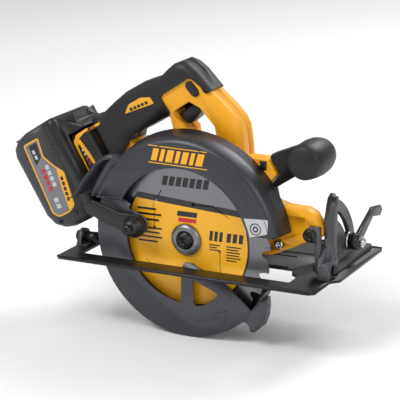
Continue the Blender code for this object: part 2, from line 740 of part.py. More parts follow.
def front_nose():
    """Yellow casting that carries the front handle and hangs the saw on its depth pivot."""
    look = yellow_plastic()
    outline = [(28.2, 14.0), (84.6, 16.9), (110.0, 28.0), (124.0, 35.0)]
    outline += arc(DEPTH_X, DEPTH_Z, 8.0, 240.0, 360.0, 8)
    outline += [(137.6, 49.0), (134.0, 56.0), (130.0, 63.0), (122.0, 66.8), (101.0, 67.8), (89.5, 71.0)]
    outline += [(84.4, 80.5), (82.4, 86.6), (92.2, 98.3), (82.6, 112.8), (60.0, 113.5), (45.0, 92.0)]
    nose = plate("front_nose", outline + [(28.2, 75.0)], -30.5, -15.9, look, bevel=1.6)
    lug = [(104.0, 31.0), (124.0, 37.0)] + arc(DEPTH_X, DEPTH_Z, 7.6, 240.0, 400.0, 9)
    lug += [(128.0, 60.0), (104.0, 62.0)]
    join(nose, plate("pivot_lug", lug, -18.0, -11.7, look, bevel=1.2))
    relief = [(96.0, 33.0), (121.0, 43.0), (121.0, 58.0), (97.0, 60.0)]
    cut(nose, plate("nose_relief", relief, -40.0, -28.0, look, cutter=True))
    cut(nose, disc("pivot_bore", 3.6, -50.0, 0.0, (DEPTH_X, DEPTH_Z), look, segments=20, cutter=True))
    cut(nose, disc("nose_screw_bore", 3.2, -50.0, -20.0, (94.0, 29.0), look, segments=12, cutter=True))
    cut(nose, plate("nose_slot", rectangle(82.5, 22.5, 87.5, 30.5), -50.0, -25.0, look, cutter=True))
    x, y, z = SPINDLE_LOCK
    cut(nose, box("lock_pocket", (7.8, 18.0, 9.8), (x, y, z), look, cutter=True))
    return smooth(nose)


# --- Handle ---------------------------------------------------------------------------------------------
def handle_outline():
    """Outer outline of the closed handle loop, from the battery foot over the grip to the motor."""
    rear = [(-98.5, 82.0), (-126.5, 131.0)]
    top = [(-116.5, 130.5), (-95.7, 148.9), (-82.2, 159.6), (-60.6, 171.5), (-41.0, 178.4)]
    hump = [(-33.5, 185.6), (-26.0, 191.6), (-18.0, 194.9), (-10.8, 192.6), (-2.4, 186.5), (13.7, 169.2)]
    strut = [(31.6, 153.8), (41.0, 143.6), (45.3, 136.0), (46.9, 126.4), (48.2, 109.6), (48.5, 80.0)]
    saddle = arc(MOTOR_X, MOTOR_Z, MOTOR_RADIUS + 0.6, 42.0, 98.0, 8)
    beam = [(-10.0, 89.0), (-60.0, 88.0)]
    return rear + top + hump + strut + saddle + beam


def finger_opening():
    """Gap under the grip for three fingers."""
    upper = [(-80.0, 112.0), (-79.0, 118.5), (-66.5, 125.5), (-36.0, 142.5), (-30.8, 140.5)]
    return upper + [(-28.4, 131.0), (-27.0, 112.0), (-33.0, 108.0), (-74.0, 108.0)]


def trigger_opening():
    """Gap in front of the trigger for the index finger."""
    lower = [(20.0, 112.0), (15.0, 108.0), (-8.0, 108.0), (-12.5, 112.0), (-14.0, 128.0)]
    rear = [(-18.5, 133.0), (-27.0, 144.0), (-25.5, 147.5), (-9.0, 158.0), (2.5, 153.0)]
    return lower + rear + [(18.5, 135.5), (20.0, 128.0)]


def grip_region():
    """Where rubber covers the handle: beyond its outline above, down to the switch housing's edge."""
    top = [(-125.0, 134.0), (-90.0, 175.0), (-30.0, 205.0), (5.0, 200.0), (24.0, 179.4)]
    front = [(12.4, 167.8), (9.0, 168.6), (4.5, 174.5), (-4.5, 181.0)]
    switch_edge = [(-9.0, 180.8), (-37.6, 163.2), (-40.2, 159.3), (-30.6, 146.0), (-31.5, 142.2)]
    under = [(-36.2, 140.4), (-66.0, 123.6), (-78.0, 117.2), (-79.5, 110.0), (-97.0, 84.5), (-101.0, 88.0)]
    return top + front + switch_edge + under


def handle_shells():
    """Two yellow clamshell halves, hollow, split on the middle plane."""
    look = yellow_plastic()
    outer = handle_outline()
    fingers = finger_opening()
    trigger_gap = trigger_opening()
    wide = SHELL_HALF_WIDTH
    body = pillow("shell_body", outer, wide, SHELL_ROUNDING, look, cutter=True)
    finger_gap = plate("finger_gap", fingers, -30.0, 30.0, look, cutter=True)
    index_gap = plate("index_gap", trigger_gap, -30.0, 30.0, look, cutter=True)
    room = plate("shell_room", inset(outer, SHELL_WALL), SHELL_WALL - wide, wide - SHELL_WALL, look, cutter=True)
    for name, opening in (("finger_wall", fingers), ("trigger_wall", trigger_gap)):
        cut(room, plate(name, inset(opening, -SHELL_WALL), -wide, wide, look, cutter=True))
    mouth = box("trigger_mouth", (24.0, 19.4, 30.0), (-14.5, 0.0, 148.7), look, -TRIGGER_LEAN, cutter=True)
    button_hole = lock_off_solid("button_hole", 60.0, 0.35, True)
    for name, low, high in (("handle_shell_right", -30.0, -GAP / 2), ("handle_shell_left", GAP / 2, 30.0)):
        half = plate(name, rectangle(-140.0, 40.0, 70.0, 210.0), low, high, look)
        keep(half, body)
        cut(half, room, finger_gap, index_gap, mouth, button_hole)
        for x, z in SHELL_SCREWS:
            if low < 0:
                reach = (-wide + 1.0, -GAP / 2)
            else:
                reach = (GAP / 2, wide - 1.0)
            pillar = disc(f"{name}_pillar_{x:.0f}", 5.0, *reach, (x, z), look, segments=16)
            join(half, pillar)
            cut(half, disc(f"{name}_bore_{x:.0f}", 2.1, -30.0, 12.0, (x, z), look, segments=12, cutter=True))
            seat = disc(f"{name}_seat_{x:.0f}", 4.0, -30.0, -12.0, (x, z), look, segments=16, cutter=True)
            cut(half, seat)
        smooth(half)


def handle_screws():
    names = ("handle_screw_front", "handle_screw_rear")
    for name, (x, z) in zip(names, SHELL_SCREWS):
        screw_along_y(name, x, z, -14.9, 23.0, 3.5, dark_steel())


def grip_covers():
    """Rubber skins bonded to both halves of the grip, with the switch housing left bare."""
    look = black_rubber()
    thickness = GRIP_HALF_WIDTH - SHELL_HALF_WIDTH
    outer = inset(handle_outline(), -thickness)
    inner = inset(handle_outline(), -GAP)
    skin = pillow("grip_skin", outer, GRIP_HALF_WIDTH, SHELL_ROUNDING + thickness, look, cutter=True)
    core = pillow("grip_core", inner, SHELL_HALF_WIDTH + GAP, SHELL_ROUNDING + GAP, look, cutter=True)
    cut(core, plate("finger_wrap", inset(finger_opening(), GAP), -30.0, 30.0, look, cutter=True))
    for name, low, high in (("grip_cover_right", -30.0, -GAP / 2), ("grip_cover_left", GAP / 2, 30.0)):
        half = plate(name, grip_region(), low, high, look)
        keep(half, skin)
        cut(half, core)
        smooth(half)


def trigger():
    """Trigger with a concave finger face and a stem that slides into the switch."""
    look = black_plastic()
    face = [(-24.5, 143.0), (-8.0, 155.0), (0.6, 151.2), (-1.6, 145.5), (-6.8, 138.6), (-12.6, 134.0)]
    face += [(-16.3, 134.3)]
    body = plate("trigger", face, -9.0, 9.0, look, bevel=1.2)
    join(body, box("trigger_stem", (7.0, 9.0, 9.0), (-18.6, 0.0, 151.6), look, -TRIGGER_LEAN))
    return smooth(body)


def trigger_spring():
    """Compression spring between the trigger's stem and the switch."""
    turns = 4
    per_turn = 8
    lean = math.radians(TRIGGER_LEAN)
    direction = Vector((-math.sin(lean), 0.0, math.cos(lean)))
    side = Vector((0.0, 1.0, 0.0))
    third = direction.cross(side)
    start = Vector((-22.3, 0.0, 155.4))
    length = 5.0
    points = []
    for i in range(turns * per_turn + 1):
        angle = 2 * math.pi * i / per_turn
        ring = side * 2.6 * math.cos(angle) + third * 2.6 * math.sin(angle)
        points.append(start + direction * (length * i / (turns * per_turn)) + ring)
    return tube("trigger_spring", points, 0.45, steel(), 1)


def switch_body():
    return smooth(box("switch_body", (13.0, 20.0, 17.0), (-31.9, 0.0, 166.3), black_plastic(), -TRIGGER_LEAN, 1.0))


def lock_off_solid(name, length, extra, cutter=False):
    """A pill-shaped prism along Y, leaning with the switch housing."""
    centre = (-4.7, 171.0)
    lean = math.radians(-48.0)
    reach = 4.0
    radius = 4.4 + extra
    tips = []
    for sign, start in ((1, -90.0), (-1, 90.0)):
        x = centre[0] + sign * reach * math.cos(lean)
        z = centre[1] + sign * reach * math.sin(lean)
        tips += arc(x, z, radius, start - 48.0, start + 132.0, 8)
    return plate(name, tips, -length / 2, length / 2, black_plastic(), cutter=cutter)


def lock_off_button():
    """Cross bolt through both shells that blocks the trigger until it is pushed aside."""
    button = lock_off_solid("lock_off_button", 2 * GRIP_HALF_WIDTH, 0.0)
    round_edges(button, 0.8)
    return smooth(button)


def control_module():
    return smooth(box("control_module", (62.0, 18.0, 9.0), (-45.0, 0.0, 97.5), black_plastic(), -0.8, 0.8))


def auxiliary_handle():
    """Front pod for the second hand and the arm that carries it."""
    look = black_rubber()
    centre = (127.0, 116.0)
    profile = [(0.0, -46.5), (14.0, -46.5), (16.2, -44.5), (17.8, -34.0), (18.5, -22.0), (17.8, -12.0)]
    profile += [(15.6, -4.0), (11.6, 1.5), (6.2, 4.4), (0.0, 5.0)]
    pod = turned("auxiliary_handle", profile, centre, look, segments=28)
    arm = [(84.3, 113.9), (94.0, 98.3), (84.3, 85.5), (87.0, 82.5), (124.0, 106.0), (121.0, 131.0), (86.0, 117.0)]
    join(pod, plate("handle_arm", arm, -29.0, -14.5, look, bevel=1.5))
    return smooth(pod)


def spindle_lock_button():
    """Button on the front of the guard that stops the spindle for a blade change."""
    x, y, z = SPINDLE_LOCK
    button = box("spindle_lock_button", (7.0, 9.0, 9.0), (x, y, z), black_plastic(), 0.0, 0.8)
    return smooth(button)


# --- Front suspension --------------------------------------------------------------------------------------
def front_bracket():
    """Hanger: two cheeks round the nose and a plate that turns against the bevel quadrant."""
    look = dark_steel()
    outline = [(-36.0, 5.5), (-24.0, 5.5), (18.0, 13.0), (30.0, 17.0), (30.0, 28.0), (14.0, 36.0), (-4.6, 38.0)]
    outline += [(-4.6, 52.0), (-11.2, 52.0), (-11.2, 32.0), (-31.0, 32.0), (-31.0, 52.0), (-37.4, 52.0)]
    outline += [(-37.4, 36.0), (-39.0, 12.0)]
    hanger = plate("front_bracket", outline, 134.2, 138.5, look, axis="X")
    cheek = arc(DEPTH_X, DEPTH_Z, 7.0, 90.0, 270.0, 9) + [(136.0, 38.0), (136.0, 52.0)]
    join(hanger, plate("near_cheek", cheek, -37.5, -31.0, look))
    join(hanger, plate("far_cheek", cheek, -11.2, -4.5, look))
    bore = disc("cheek_bore", 3.6, -50.0, 10.0, (DEPTH_X, DEPTH_Z), look, segments=20, cutter=True)
    pin_bore = disc("hanger_pin_bore", 4.0, 120.0, 160.0, (BEVEL_Y, BEVEL_Z), look, "X", segments=16, cutter=True)
    bolt_y, bolt_z = bevel_bolt_place()
    bolt_bore = disc("hanger_bolt_bore", 3.8, 120.0, 160.0, (bolt_y, bolt_z), look, "X", segments=16, cutter=True)
    cut(hanger, bore, pin_bore, bolt_bore)
    return smooth(hanger)


def bevel_bolt_place():
    """(y, z) of the bevel lock bolt with the blade upright."""
    angle = math.radians(BEVEL_BOLT_ANGLE)
    return (BEVEL_Y + BEVEL_SLOT_RADIUS * math.cos(angle), BEVEL_Z + BEVEL_SLOT_RADIUS * math.sin(angle))


def depth_pivot_pin():
    centre = (DEPTH_X, DEPTH_Z)
    profile = [(0.0, -42.0), (6.2, -42.0), (6.2, -37.8), (3.3, -37.8), (3.3, -4.2), (6.2, -4.2)]
    profile += [(6.2, -1.0), (0.0, -1.0)]
    pin = turned("depth_pivot_pin", profile[::-1], centre, dark_steel(), segments=20)
    socket = disc("pivot_socket", 3.0, -45.0, -39.5, centre, steel(), segments=6, cutter=True)
    return smooth(cut(pin, socket))


def bevel_quadrant():
    """Cast quarter plate with the bevel scale, its arc slot, pivot foot and base rail."""
    look = cast_metal()
    low_x = 138.8
    high_x = 143.2
    arc_outer = arc(BEVEL_Y, BEVEL_Z, 68.0, 66.0, 12.0, 13)
    outline = [(-43.0, 2.9), (-43.0, 16.0), (-38.5, 22.0), (-30.0, 30.0), (-25.5, 40.0), (-25.0, 59.0)]
    outline += [(-20.5, 70.0), (-17.0, 77.0), (-10.0, 80.0)] + arc_outer + [(42.0, 10.0), (60.0, 9.5)]
    outline += [(62.0, 7.5), (62.0, 2.9)]
    curve = slot(BEVEL_Y, BEVEL_Z, BEVEL_SLOT_RADIUS, 10.0, 76.0, 4.4, 12)
    quadrant = plate("bevel_quadrant", outline, low_x, high_x, look, axis="X", holes=[curve])
    foot = rectangle(-43.0, 2.9, -19.0, 19.0)
    column = [(-30.0, 18.0), (-25.0, 40.0), (-25.0, 59.0), (-20.5, 70.0), (-17.0, 77.0), (-12.0, 78.5)]
    column += [(-14.0, 66.0), (-16.5, 50.0), (-18.0, 18.0)]
    join(quadrant, plate("quadrant_foot", foot, 142.0, 150.0, look, axis="X"))
    join(quadrant, plate("quadrant_column", column, 142.0, 148.5, look, axis="X", bevel=0.8))
    join(quadrant, plate("quadrant_rail", rectangle(-43.0, 2.9, 62.0, 9.0), 142.0, 150.0, look, axis="X"))
    pin_bore = disc("quadrant_bore", 4.0, 120.0, 170.0, (BEVEL_Y, BEVEL_Z), look, "X", segments=16, cutter=True)
    return smooth(cut(quadrant, pin_bore))


def pivot_rod(name, low, high, head_low, head_high):
    """Pin along the bevel axis with a flat head."""
    centre = (BEVEL_Y, BEVEL_Z)
    rod = disc(name, 3.7, low, high, centre, steel(), "X", segments=16)
    join(rod, disc(name + "_head", 5.6, head_low, head_high, centre, steel(), "X", segments=16))
    return smooth(rod)


def bevel_bolt():
    """Lock bolt through the hanger and the quadrant's slot."""
    centre = bevel_bolt_place()
    bolt = disc("bevel_bolt", 3.5, 133.0, 160.5, centre, steel(), "X", segments=16)
    join(bolt, disc("bevel_bolt_head", 7.0, 129.5, 133.9, centre, steel(), "X", segments=6))
    return smooth(bolt)


def bevel_washer():
    return smooth(disc("bevel_washer", 9.0, 143.5, 145.0, bevel_bolt_place(), steel(), "X", 3.8, 24))


def bevel_lever():
    """Clamp lever: a hub on the bolt, an arm and a flat thumb pad."""
    look = dark_steel()
    y, z = bevel_bolt_place()
    hub = disc("bevel_lever", 8.2, 145.3, 154.5, (y, z), look, "X", segments=24)
    arm = [(y - 5.5, z + 6.0), (y + 3.0, z - 5.0), (y + 37.0, z + 15.0), (y + 55.0, z + 11.0)]
    arm += [(y + 61.0, z + 16.0), (y + 57.0, z + 21.5), (y + 36.0, z + 25.0), (y + 28.0, z + 21.0)]
    blade_arm = plate("lever_arm", arm, 150.3, 153.9, look, axis="X", bevel=0.8)
    join(hub, blade_arm)
    cut(hub, disc("lever_hub_bore", 3.8, 140.0, 170.0, (y, z), look, "X", segments=16, cutter=True))
    return smooth(hub)


def bevel_nut():
    centre = bevel_bolt_place()
    nut = disc("bevel_nut", 6.2, 154.8, 158.5, centre, steel(), "X", segments=6)
    return smooth(cut(nut, disc("nut_bore", 3.8, 150.0, 165.0, centre, steel(), "X", segments=16, cutter=True)))


# --- Rear suspension ------------------------------------------------------------------------------------------
def rear_bracket():
    """Upstand on the shoe's rear edge that holds the rear bevel pin."""
    look = dark_steel()
    outline = [(-42.0, 2.9)] + arc(BEVEL_Y, BEVEL_Z, 8.5, 160.0, 20.0, 9) + [(-18.0, 2.9)]
    upstand = plate("rear_bracket", outline, -133.0, -128.5, look, axis="X")
    join(upstand, plate("bracket_base", rectangle(-133.0, -42.0, -120.5, -18.0), 2.9, 4.2, look, axis="Z"))
    bore = disc("bracket_bore", 4.0, -150.0, -110.0, (BEVEL_Y, BEVEL_Z), look, "X", segments=16, cutter=True)
    return smooth(cut(upstand, bore))


def rear_depth_arm():
    """Arc-shaped arm, centred on the depth pivot, with the slot that the depth lock runs in."""
    look = dark_steel()
    top_angle = 156.5
    foot_angle = 187.5
    half = 6.5
    outer = arc(DEPTH_X, DEPTH_Z, DEPTH_ARM_RADIUS + half, top_angle, foot_angle, 14)
    inner = arc(DEPTH_X, DEPTH_Z, DEPTH_ARM_RADIUS - half, foot_angle - 0.6, top_angle, 14)
    root = [(-56.0, 6.4), (-119.5, 6.4), (-119.5, 14.5), (-70.0, 15.5)]
    outline = outer[:-1] + root[::-1] + inner
    window = slot(DEPTH_X, DEPTH_Z, DEPTH_ARM_RADIUS, 157.4, 185.7, 3.3, 14)
    arm = plate("rear_depth_arm", outline, -30.0, -25.8, look, holes=[window])
    barrel = disc("arm_barrel", 5.5, -128.0, -112.0, (BEVEL_Y, BEVEL_Z), look, "X", segments=20)
    join(arm, barrel)
    bore = disc("arm_bore", 4.0, -150.0, -90.0, (BEVEL_Y, BEVEL_Z), look, "X", segments=16, cutter=True)
    return smooth(cut(arm, bore))


def depth_lock_bolt():
    bolt = disc("depth_lock_bolt", 2.9, -31.5, -8.0, DEPTH_LOCK, steel(), segments=14)
    join(bolt, disc("depth_bolt_head", 5.5, -30.7 - 3.0, -30.4, DEPTH_LOCK, steel(), segments=16))
    return smooth(bolt)


def depth_lever():
    """Lever that clamps the depth arm against the gear case's lug."""
    look = black_plastic()
    x, z = DEPTH_LOCK
    hub = disc("depth_lever", 8.0, -19.2, -11.5, DEPTH_LOCK, look, segments=20)
    arm = [(x + 6.0, z), (x + 2.0, z + 44.0), (x - 4.0, z + 51.0), (x - 9.5, z + 49.0), (x - 6.0, z)]
    join(hub, plate("depth_lever_arm", arm, -17.5, -12.0, look, bevel=1.0))
    cut(hub, disc("depth_lever_bore", 3.2, -40.0, 0.0, DEPTH_LOCK, look, segments=14, cutter=True))
    return smooth(hub)


def shoe():
    """Base plate with a blade opening, a set-back front corner and stiffening ribs on top."""
    look = dark_steel()
    corner = 3.0
    outline = [(SHOE_REAR_X + corner, SHOE_NEAR_Y), (146.0, SHOE_NEAR_Y), (151.0, SHOE_NEAR_Y + 4.0)]
    outline += [(151.0, -41.5), (SHOE_FRONT_X, -34.0), (SHOE_FRONT_X, SHOE_FAR_Y - corner)]
    outline += [(SHOE_FRONT_X - corner, SHOE_FAR_Y), (SHOE_REAR_X + corner, SHOE_FAR_Y)]
    outline += [(SHOE_REAR_X, SHOE_FAR_Y - corner), (SHOE_REAR_X, SHOE_NEAR_Y + corner)]
    opening = [(-116.0, -59.0), (117.0, -59.0), (117.0, -40.0), (108.0, -34.0), (103.0, -22.0), (-116.0, -22.0)]
    base = plate("shoe", outline, 0.0, SHOE_THICKNESS, look, axis="Z", holes=[opening])
    top = SHOE_THICKNESS - 0.4
    ribs = (
        ("near_rib", rectangle(SHOE_REAR_X + 1.0, SHOE_NEAR_Y + 0.6, 149.0, SHOE_NEAR_Y + 3.2)),
        ("far_rib", rectangle(SHOE_REAR_X + 1.0, SHOE_FAR_Y - 3.2, SHOE_FRONT_X - 1.0, SHOE_FAR_Y - 0.6)),
        ("slot_rib", rectangle(-112.0, -21.0, 98.0, -18.6)),
        ("middle_rib", rectangle(-125.0, 24.0, 130.0, 26.6)),
    )
    for name, rib in ribs:
        join(base, plate(name, rib, top, SHOE_THICKNESS + 0.9, look, axis="Z"))
    return smooth(base)


# --- Battery -------------------------------------------------------------------------------------------------------
def battery_foot():
    """Socket at the rear of the handle: a channel with hooks for the pack's rails."""
    look = black_plastic()
    foot = pack_block("battery_foot", (FOOT_BOTTOM, FOOT_TOP), (-70.3, -46.3), 24.0, look, 3.0)
    channel = pack_block("foot_channel", (FOOT_BOTTOM + 6.0, 190.0), (-66.0, -55.0), 20.8, look, cutter=True)
    mouth = pack_block("foot_mouth", (FOOT_BOTTOM + 6.0, 190.0), (-80.0, -65.0), 17.3, look, cutter=True)
    cut(foot, channel, mouth)
    return smooth(foot)


def terminal_block():
    """Contact carrier at the bottom of the socket."""
    look = black_plastic()
    block = pack_block("terminal_block", (FOOT_BOTTOM + 6.3, FOOT_BOTTOM + 9.3), (-65.0, -56.0), 14.0, look)
    for index in range(4):
        offset = -9.0 + 6.0 * index
        contact = pack_block(
            f"contact_{index}", (FOOT_BOTTOM + 9.0, FOOT_BOTTOM + 17.0), (-63.0, -58.0), 0.5, look, shift=offset
        )
        join(block, contact)
    return smooth(block)


def pack_outline(margin):
    """Side outline of the closed pack, moved inwards by the margin."""
    bottom = [(PACK_BOTTOM, PACK_FRONT), (PACK_BOTTOM + 0.5, -110.0), (90.5, -122.0), (97.5, -131.0)]
    rear = [(110.0, PACK_REAR), (178.0, PACK_REAR), (187.0, -132.5)]
    top = [(193.0, -124.0), (PACK_TOP - 0.5, -112.0), (PACK_TOP, PACK_FRONT)]
    return inset([pack_point(*point) for point in bottom + rear + top], margin)


def pack_case(name, normal):
    """One half of the pack's shell: the share of the closed pack between two distances from the rails."""
    look = black_plastic()
    wide = PACK_HALF_WIDTH
    wall = PACK_WALL
    half = pack_block(name, (60.0, 230.0), normal, 50.0, look)
    keep(half, plate(name + "_body", pack_outline(0.0), -wide, wide, look, bevel=6.0, cutter=True))
    return half, plate(name + "_room", pack_outline(wall), wall - wide, wide - wall, look, cutter=True)


def battery_front_case():
    """Rail side of the pack: shallow half shell, rail tower and latch block."""
    look = black_plastic()
    case, room = pack_case("battery_front_case", (PACK_SEAM + GAP / 2, -40.0))
    neck = pack_block("rail_neck", (FOOT_BOTTOM + 10.6, 189.0), (-75.0, -64.0), 16.6, look)
    rail = pack_block("rail_flange", (FOOT_BOTTOM + 10.0, 190.0), (-65.4, -56.0), 20.2, look)
    slope = [(FOOT_TOP + 1.2, -80.0), (192.5, -80.0), LATCH_TOP, LATCH_TIP, (FOOT_TOP + 1.2, -47.0)]
    latch = plate("latch_housing", [pack_point(*point) for point in slope], -24.0, 24.0, look, bevel=2.5)
    join(case, neck, rail, latch)
    socket = pack_block("terminal_room", (90.0, FOOT_BOTTOM + 26.0), (-64.2, -57.0), 12.0, look, cutter=True)
    pocket = pack_block("latch_pocket", (FOOT_TOP + 4.0, 220.0), (-71.0, -56.0), 18.4, look, cutter=True)
    cut(case, room, socket, pocket)
    return smooth(case)


def battery_rear_case():
    """Deep half shell that holds the cells."""
    case, room = pack_case("battery_rear_case", (-150.0, PACK_SEAM - GAP / 2))
    return smooth(cut(case, room))


def battery_cells():
    """Fifteen cells taped to one block."""
    look = material("cell_wrap", (0.10, 0.25, 0.12), 0.4)
    wide = PACK_HALF_WIDTH - 5.5
    return smooth(plate("battery_cells", pack_outline(5.5), -wide, wide, look, bevel=3.0))


def battery_latch_button():
    """Button whose top follows the latch block's slope."""
    outline = [(178.8, -70.6), (192.6, -70.6), (181.1, -56.4), (178.8, -56.4)]
    points = [pack_point(*point) for point in outline]
    return smooth(plate("battery_latch_button", points, -18.0, 18.0, black_plastic(), bevel=0.8))


def latch_spring():
    """Compression spring under the latch button."""
    turns = 2.5
    per_turn = 8
    bottom = FOOT_TOP + 4.8
    points = []
    for i in range(int(turns * per_turn) + 1):
        angle = 2 * math.pi * i / per_turn
        along = bottom + 3.6 * i / (turns * per_turn)
        x, z = pack_point(along, -63.5 + 3.0 * math.cos(angle))
        points.append((x, 3.0 * math.sin(angle), z))
    return tube("latch_spring", points, 0.45, steel(), 1)


# --- Assembly --------------------------------------------------------------------------------------------------------
def motor_place(y):
    return MOTOR_X, y, MOTOR_Z


# Each moving body hangs from an empty on its joint's axis: (axis, its parent axis, place, pieces).
AXES = (
    ("bevel_axis", None, (0.0, BEVEL_Y, BEVEL_Z),
     ("front_bracket", "depth_pivot_pin", "bevel_bolt", "bevel_washer", "bevel_nut", "rear_depth_arm")),
    ("depth_axis", "bevel_axis", (DEPTH_X, -21.0, DEPTH_Z),
     ("upper_guard", "gear_case", "bearing_plate", "motor_housing", "motor_end_cap", "stator",
      "spindle_front_bearing", "spindle_rear_bearing", "motor_front_bearing", "motor_rear_bearing",
      "front_nose", "nose_screw", "handle_shell_right", "handle_shell_left", "handle_screw_front",
      "handle_screw_rear", "grip_cover_right", "grip_cover_left", "switch_body", "control_module",
      "auxiliary_handle", "battery_foot", "terminal_block", "depth_lock_bolt", "guard_return_spring",
      "trigger_spring")),
    ("blade_axis", "depth_axis", (0.0, BLADE_Y, ARBOR_Z),
     ("blade", "outer_flange", "inner_flange", "blade_bolt", "spindle", "drive_gear")),
    ("rotor_axis", "depth_axis", motor_place(20.0), ("motor_shaft", "rotor_core", "cooling_fan")),
    ("lower_guard_axis", "depth_axis", (0.0, BLADE_Y, ARBOR_Z),
     ("lower_guard", "guard_lever", "guard_knob", "guard_knob_screw")),
    ("trigger_axis", "depth_axis", (-10.0, 0.0, 145.0), ("trigger",)),
    ("lock_off_axis", "depth_axis", (-4.7, 0.0, 171.0), ("lock_off_button",)),
    ("spindle_lock_axis", "depth_axis", SPINDLE_LOCK, ("spindle_lock_button",)),
    ("bevel_lever_axis", "bevel_axis", (150.0, *bevel_bolt_place()), ("bevel_lever",)),
    ("depth_lever_axis", "depth_axis", (DEPTH_LOCK[0], -15.0, DEPTH_LOCK[1]), ("depth_lever",)),
    ("battery_axis", "depth_axis", (-100.0, 0.0, 110.0),
     ("battery_front_case", "battery_rear_case", "battery_cells", "latch_spring")),
    ("latch_axis", "battery_axis", (-140.0, 0.0, 130.0), ("battery_latch_button",)),
)


def hang(obj, axis):
    """Parents an object to an empty and leaves it where it is."""
    obj.parent = axis
    obj.matrix_parent_inverse = axis.matrix_world.inverted()


def set_axes():
    """Puts an empty on each joint's axis and hangs the pieces that it moves from it."""
    for name, parent, place, pieces in AXES:
        axis = bpy.data.objects.new(name, None)
        axis.location = [c * MM for c in place]
        axis.empty_display_size = 10 * MM
        PARTS.objects.link(axis)
        bpy.context.view_layer.update()
        if parent:
            hang(axis, bpy.data.objects[parent])
        bpy.context.view_layer.update()
        for piece in pieces:
            hang(bpy.data.objects[piece], axis)


def build():
    upper_guard()
    lower_guard()
    guard_lever()
    guard_knob()
    guard_knob_screw()
    guard_return_spring()
    blade()
    outer_flange()
    inner_flange()
    blade_bolt()
    spindle()
    drive_gear()
    motor_shaft()
    rotor_core()
    stator()
    cooling_fan()
    bearings()
    gear_case()
    bearing_plate()
    motor_housing()
    motor_end_cap()
    front_nose()
    screw_along_y("nose_screw", 94.0, 29.0, -34.3, 12.0, 4.6, dark_steel())
    handle_shells()
    handle_screws()
    grip_covers()
    trigger()
    trigger_spring()
    switch_body()
    lock_off_button()
    control_module()
    auxiliary_handle()
    spindle_lock_button()
    front_bracket()
    depth_pivot_pin()
    bevel_quadrant()
    pivot_rod("front_bevel_pin", 130.0, 151.0, 150.4, 153.4)
    bevel_bolt()
    bevel_washer()
    bevel_lever()
    bevel_nut()
    rear_bracket()
    pivot_rod("rear_bevel_pin", -137.0, -110.0, -137.5, -133.5)
    rear_depth_arm()
    depth_lock_bolt()
    depth_lever()
    shoe()
    battery_foot()
    terminal_block()
    battery_front_case()
    battery_rear_case()
    battery_cells()
    battery_latch_button()
    latch_spring()
    set_axes()


build()
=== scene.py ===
"""Looks of a cordless circular saw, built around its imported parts.

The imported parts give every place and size. This script gives them their finishes and adds the
small fittings, mouldings and printed marks that a close look shows. Lengths are millimetres
until MM turns them into metres, and a flat outline is a list of (x, z) points.
"""

import json
import logging
import math
from dataclasses import dataclass, field
from enum import Enum
from typing import Any, Iterable, Sequence

import bmesh
import bpy
from mathutils import Matrix, Vector
from mathutils.bvhtree import BVHTree
from mathutils.geometry import tessellate_polygon

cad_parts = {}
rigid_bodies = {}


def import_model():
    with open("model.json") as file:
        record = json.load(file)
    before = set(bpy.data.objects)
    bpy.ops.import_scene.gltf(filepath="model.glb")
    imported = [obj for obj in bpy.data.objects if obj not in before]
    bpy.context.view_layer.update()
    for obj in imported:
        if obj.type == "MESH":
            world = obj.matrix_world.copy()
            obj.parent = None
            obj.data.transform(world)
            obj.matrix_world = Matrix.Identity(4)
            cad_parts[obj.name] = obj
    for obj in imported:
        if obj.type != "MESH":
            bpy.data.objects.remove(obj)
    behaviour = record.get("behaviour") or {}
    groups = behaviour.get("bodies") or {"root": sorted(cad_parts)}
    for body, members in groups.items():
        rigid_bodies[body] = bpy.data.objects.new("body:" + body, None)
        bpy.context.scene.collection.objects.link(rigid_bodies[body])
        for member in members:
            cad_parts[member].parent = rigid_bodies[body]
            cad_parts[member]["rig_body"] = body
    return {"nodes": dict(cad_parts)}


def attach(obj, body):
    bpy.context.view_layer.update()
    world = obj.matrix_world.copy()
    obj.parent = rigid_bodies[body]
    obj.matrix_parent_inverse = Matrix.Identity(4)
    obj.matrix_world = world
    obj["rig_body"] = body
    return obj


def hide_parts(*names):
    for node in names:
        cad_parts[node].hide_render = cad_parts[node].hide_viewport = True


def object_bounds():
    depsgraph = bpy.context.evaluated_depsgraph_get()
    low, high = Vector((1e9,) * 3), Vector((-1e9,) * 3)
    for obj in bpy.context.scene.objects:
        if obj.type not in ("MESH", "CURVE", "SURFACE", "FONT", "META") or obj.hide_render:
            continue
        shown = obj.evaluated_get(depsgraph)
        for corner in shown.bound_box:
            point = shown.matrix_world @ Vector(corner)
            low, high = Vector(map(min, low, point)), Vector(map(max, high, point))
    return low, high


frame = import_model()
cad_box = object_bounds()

MM = 0.001
ARBOR = (0.0, 27.0)
BLADE_Y = -45.0
PACK_LEAN = 30.0

Point2 = tuple[float, float]
Point3 = tuple[float, float, float]
Colour = tuple[float, float, float]
Outline = Sequence[Point2]

log = logging.getLogger("saw_looks")


class Body(Enum):
    """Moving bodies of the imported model."""

    SHOE = "shoe"
    CARRIAGE = "carriage"
    SAW = "saw"
    BLADE = "blade_set"
    ROTOR = "rotor"
    GUARD = "retracting_guard"
    TRIGGER = "trigger"
    LOCK_OFF = "lock_off"
    SPINDLE_LOCK = "spindle_lock"
    BEVEL_CLAMP = "bevel_clamp"
    DEPTH_CLAMP = "depth_clamp"
    BATTERY = "battery"
    LATCH = "battery_latch"


class Drive(Enum):
    """Recess in a screw head, by its number of sides."""

    STAR = 12


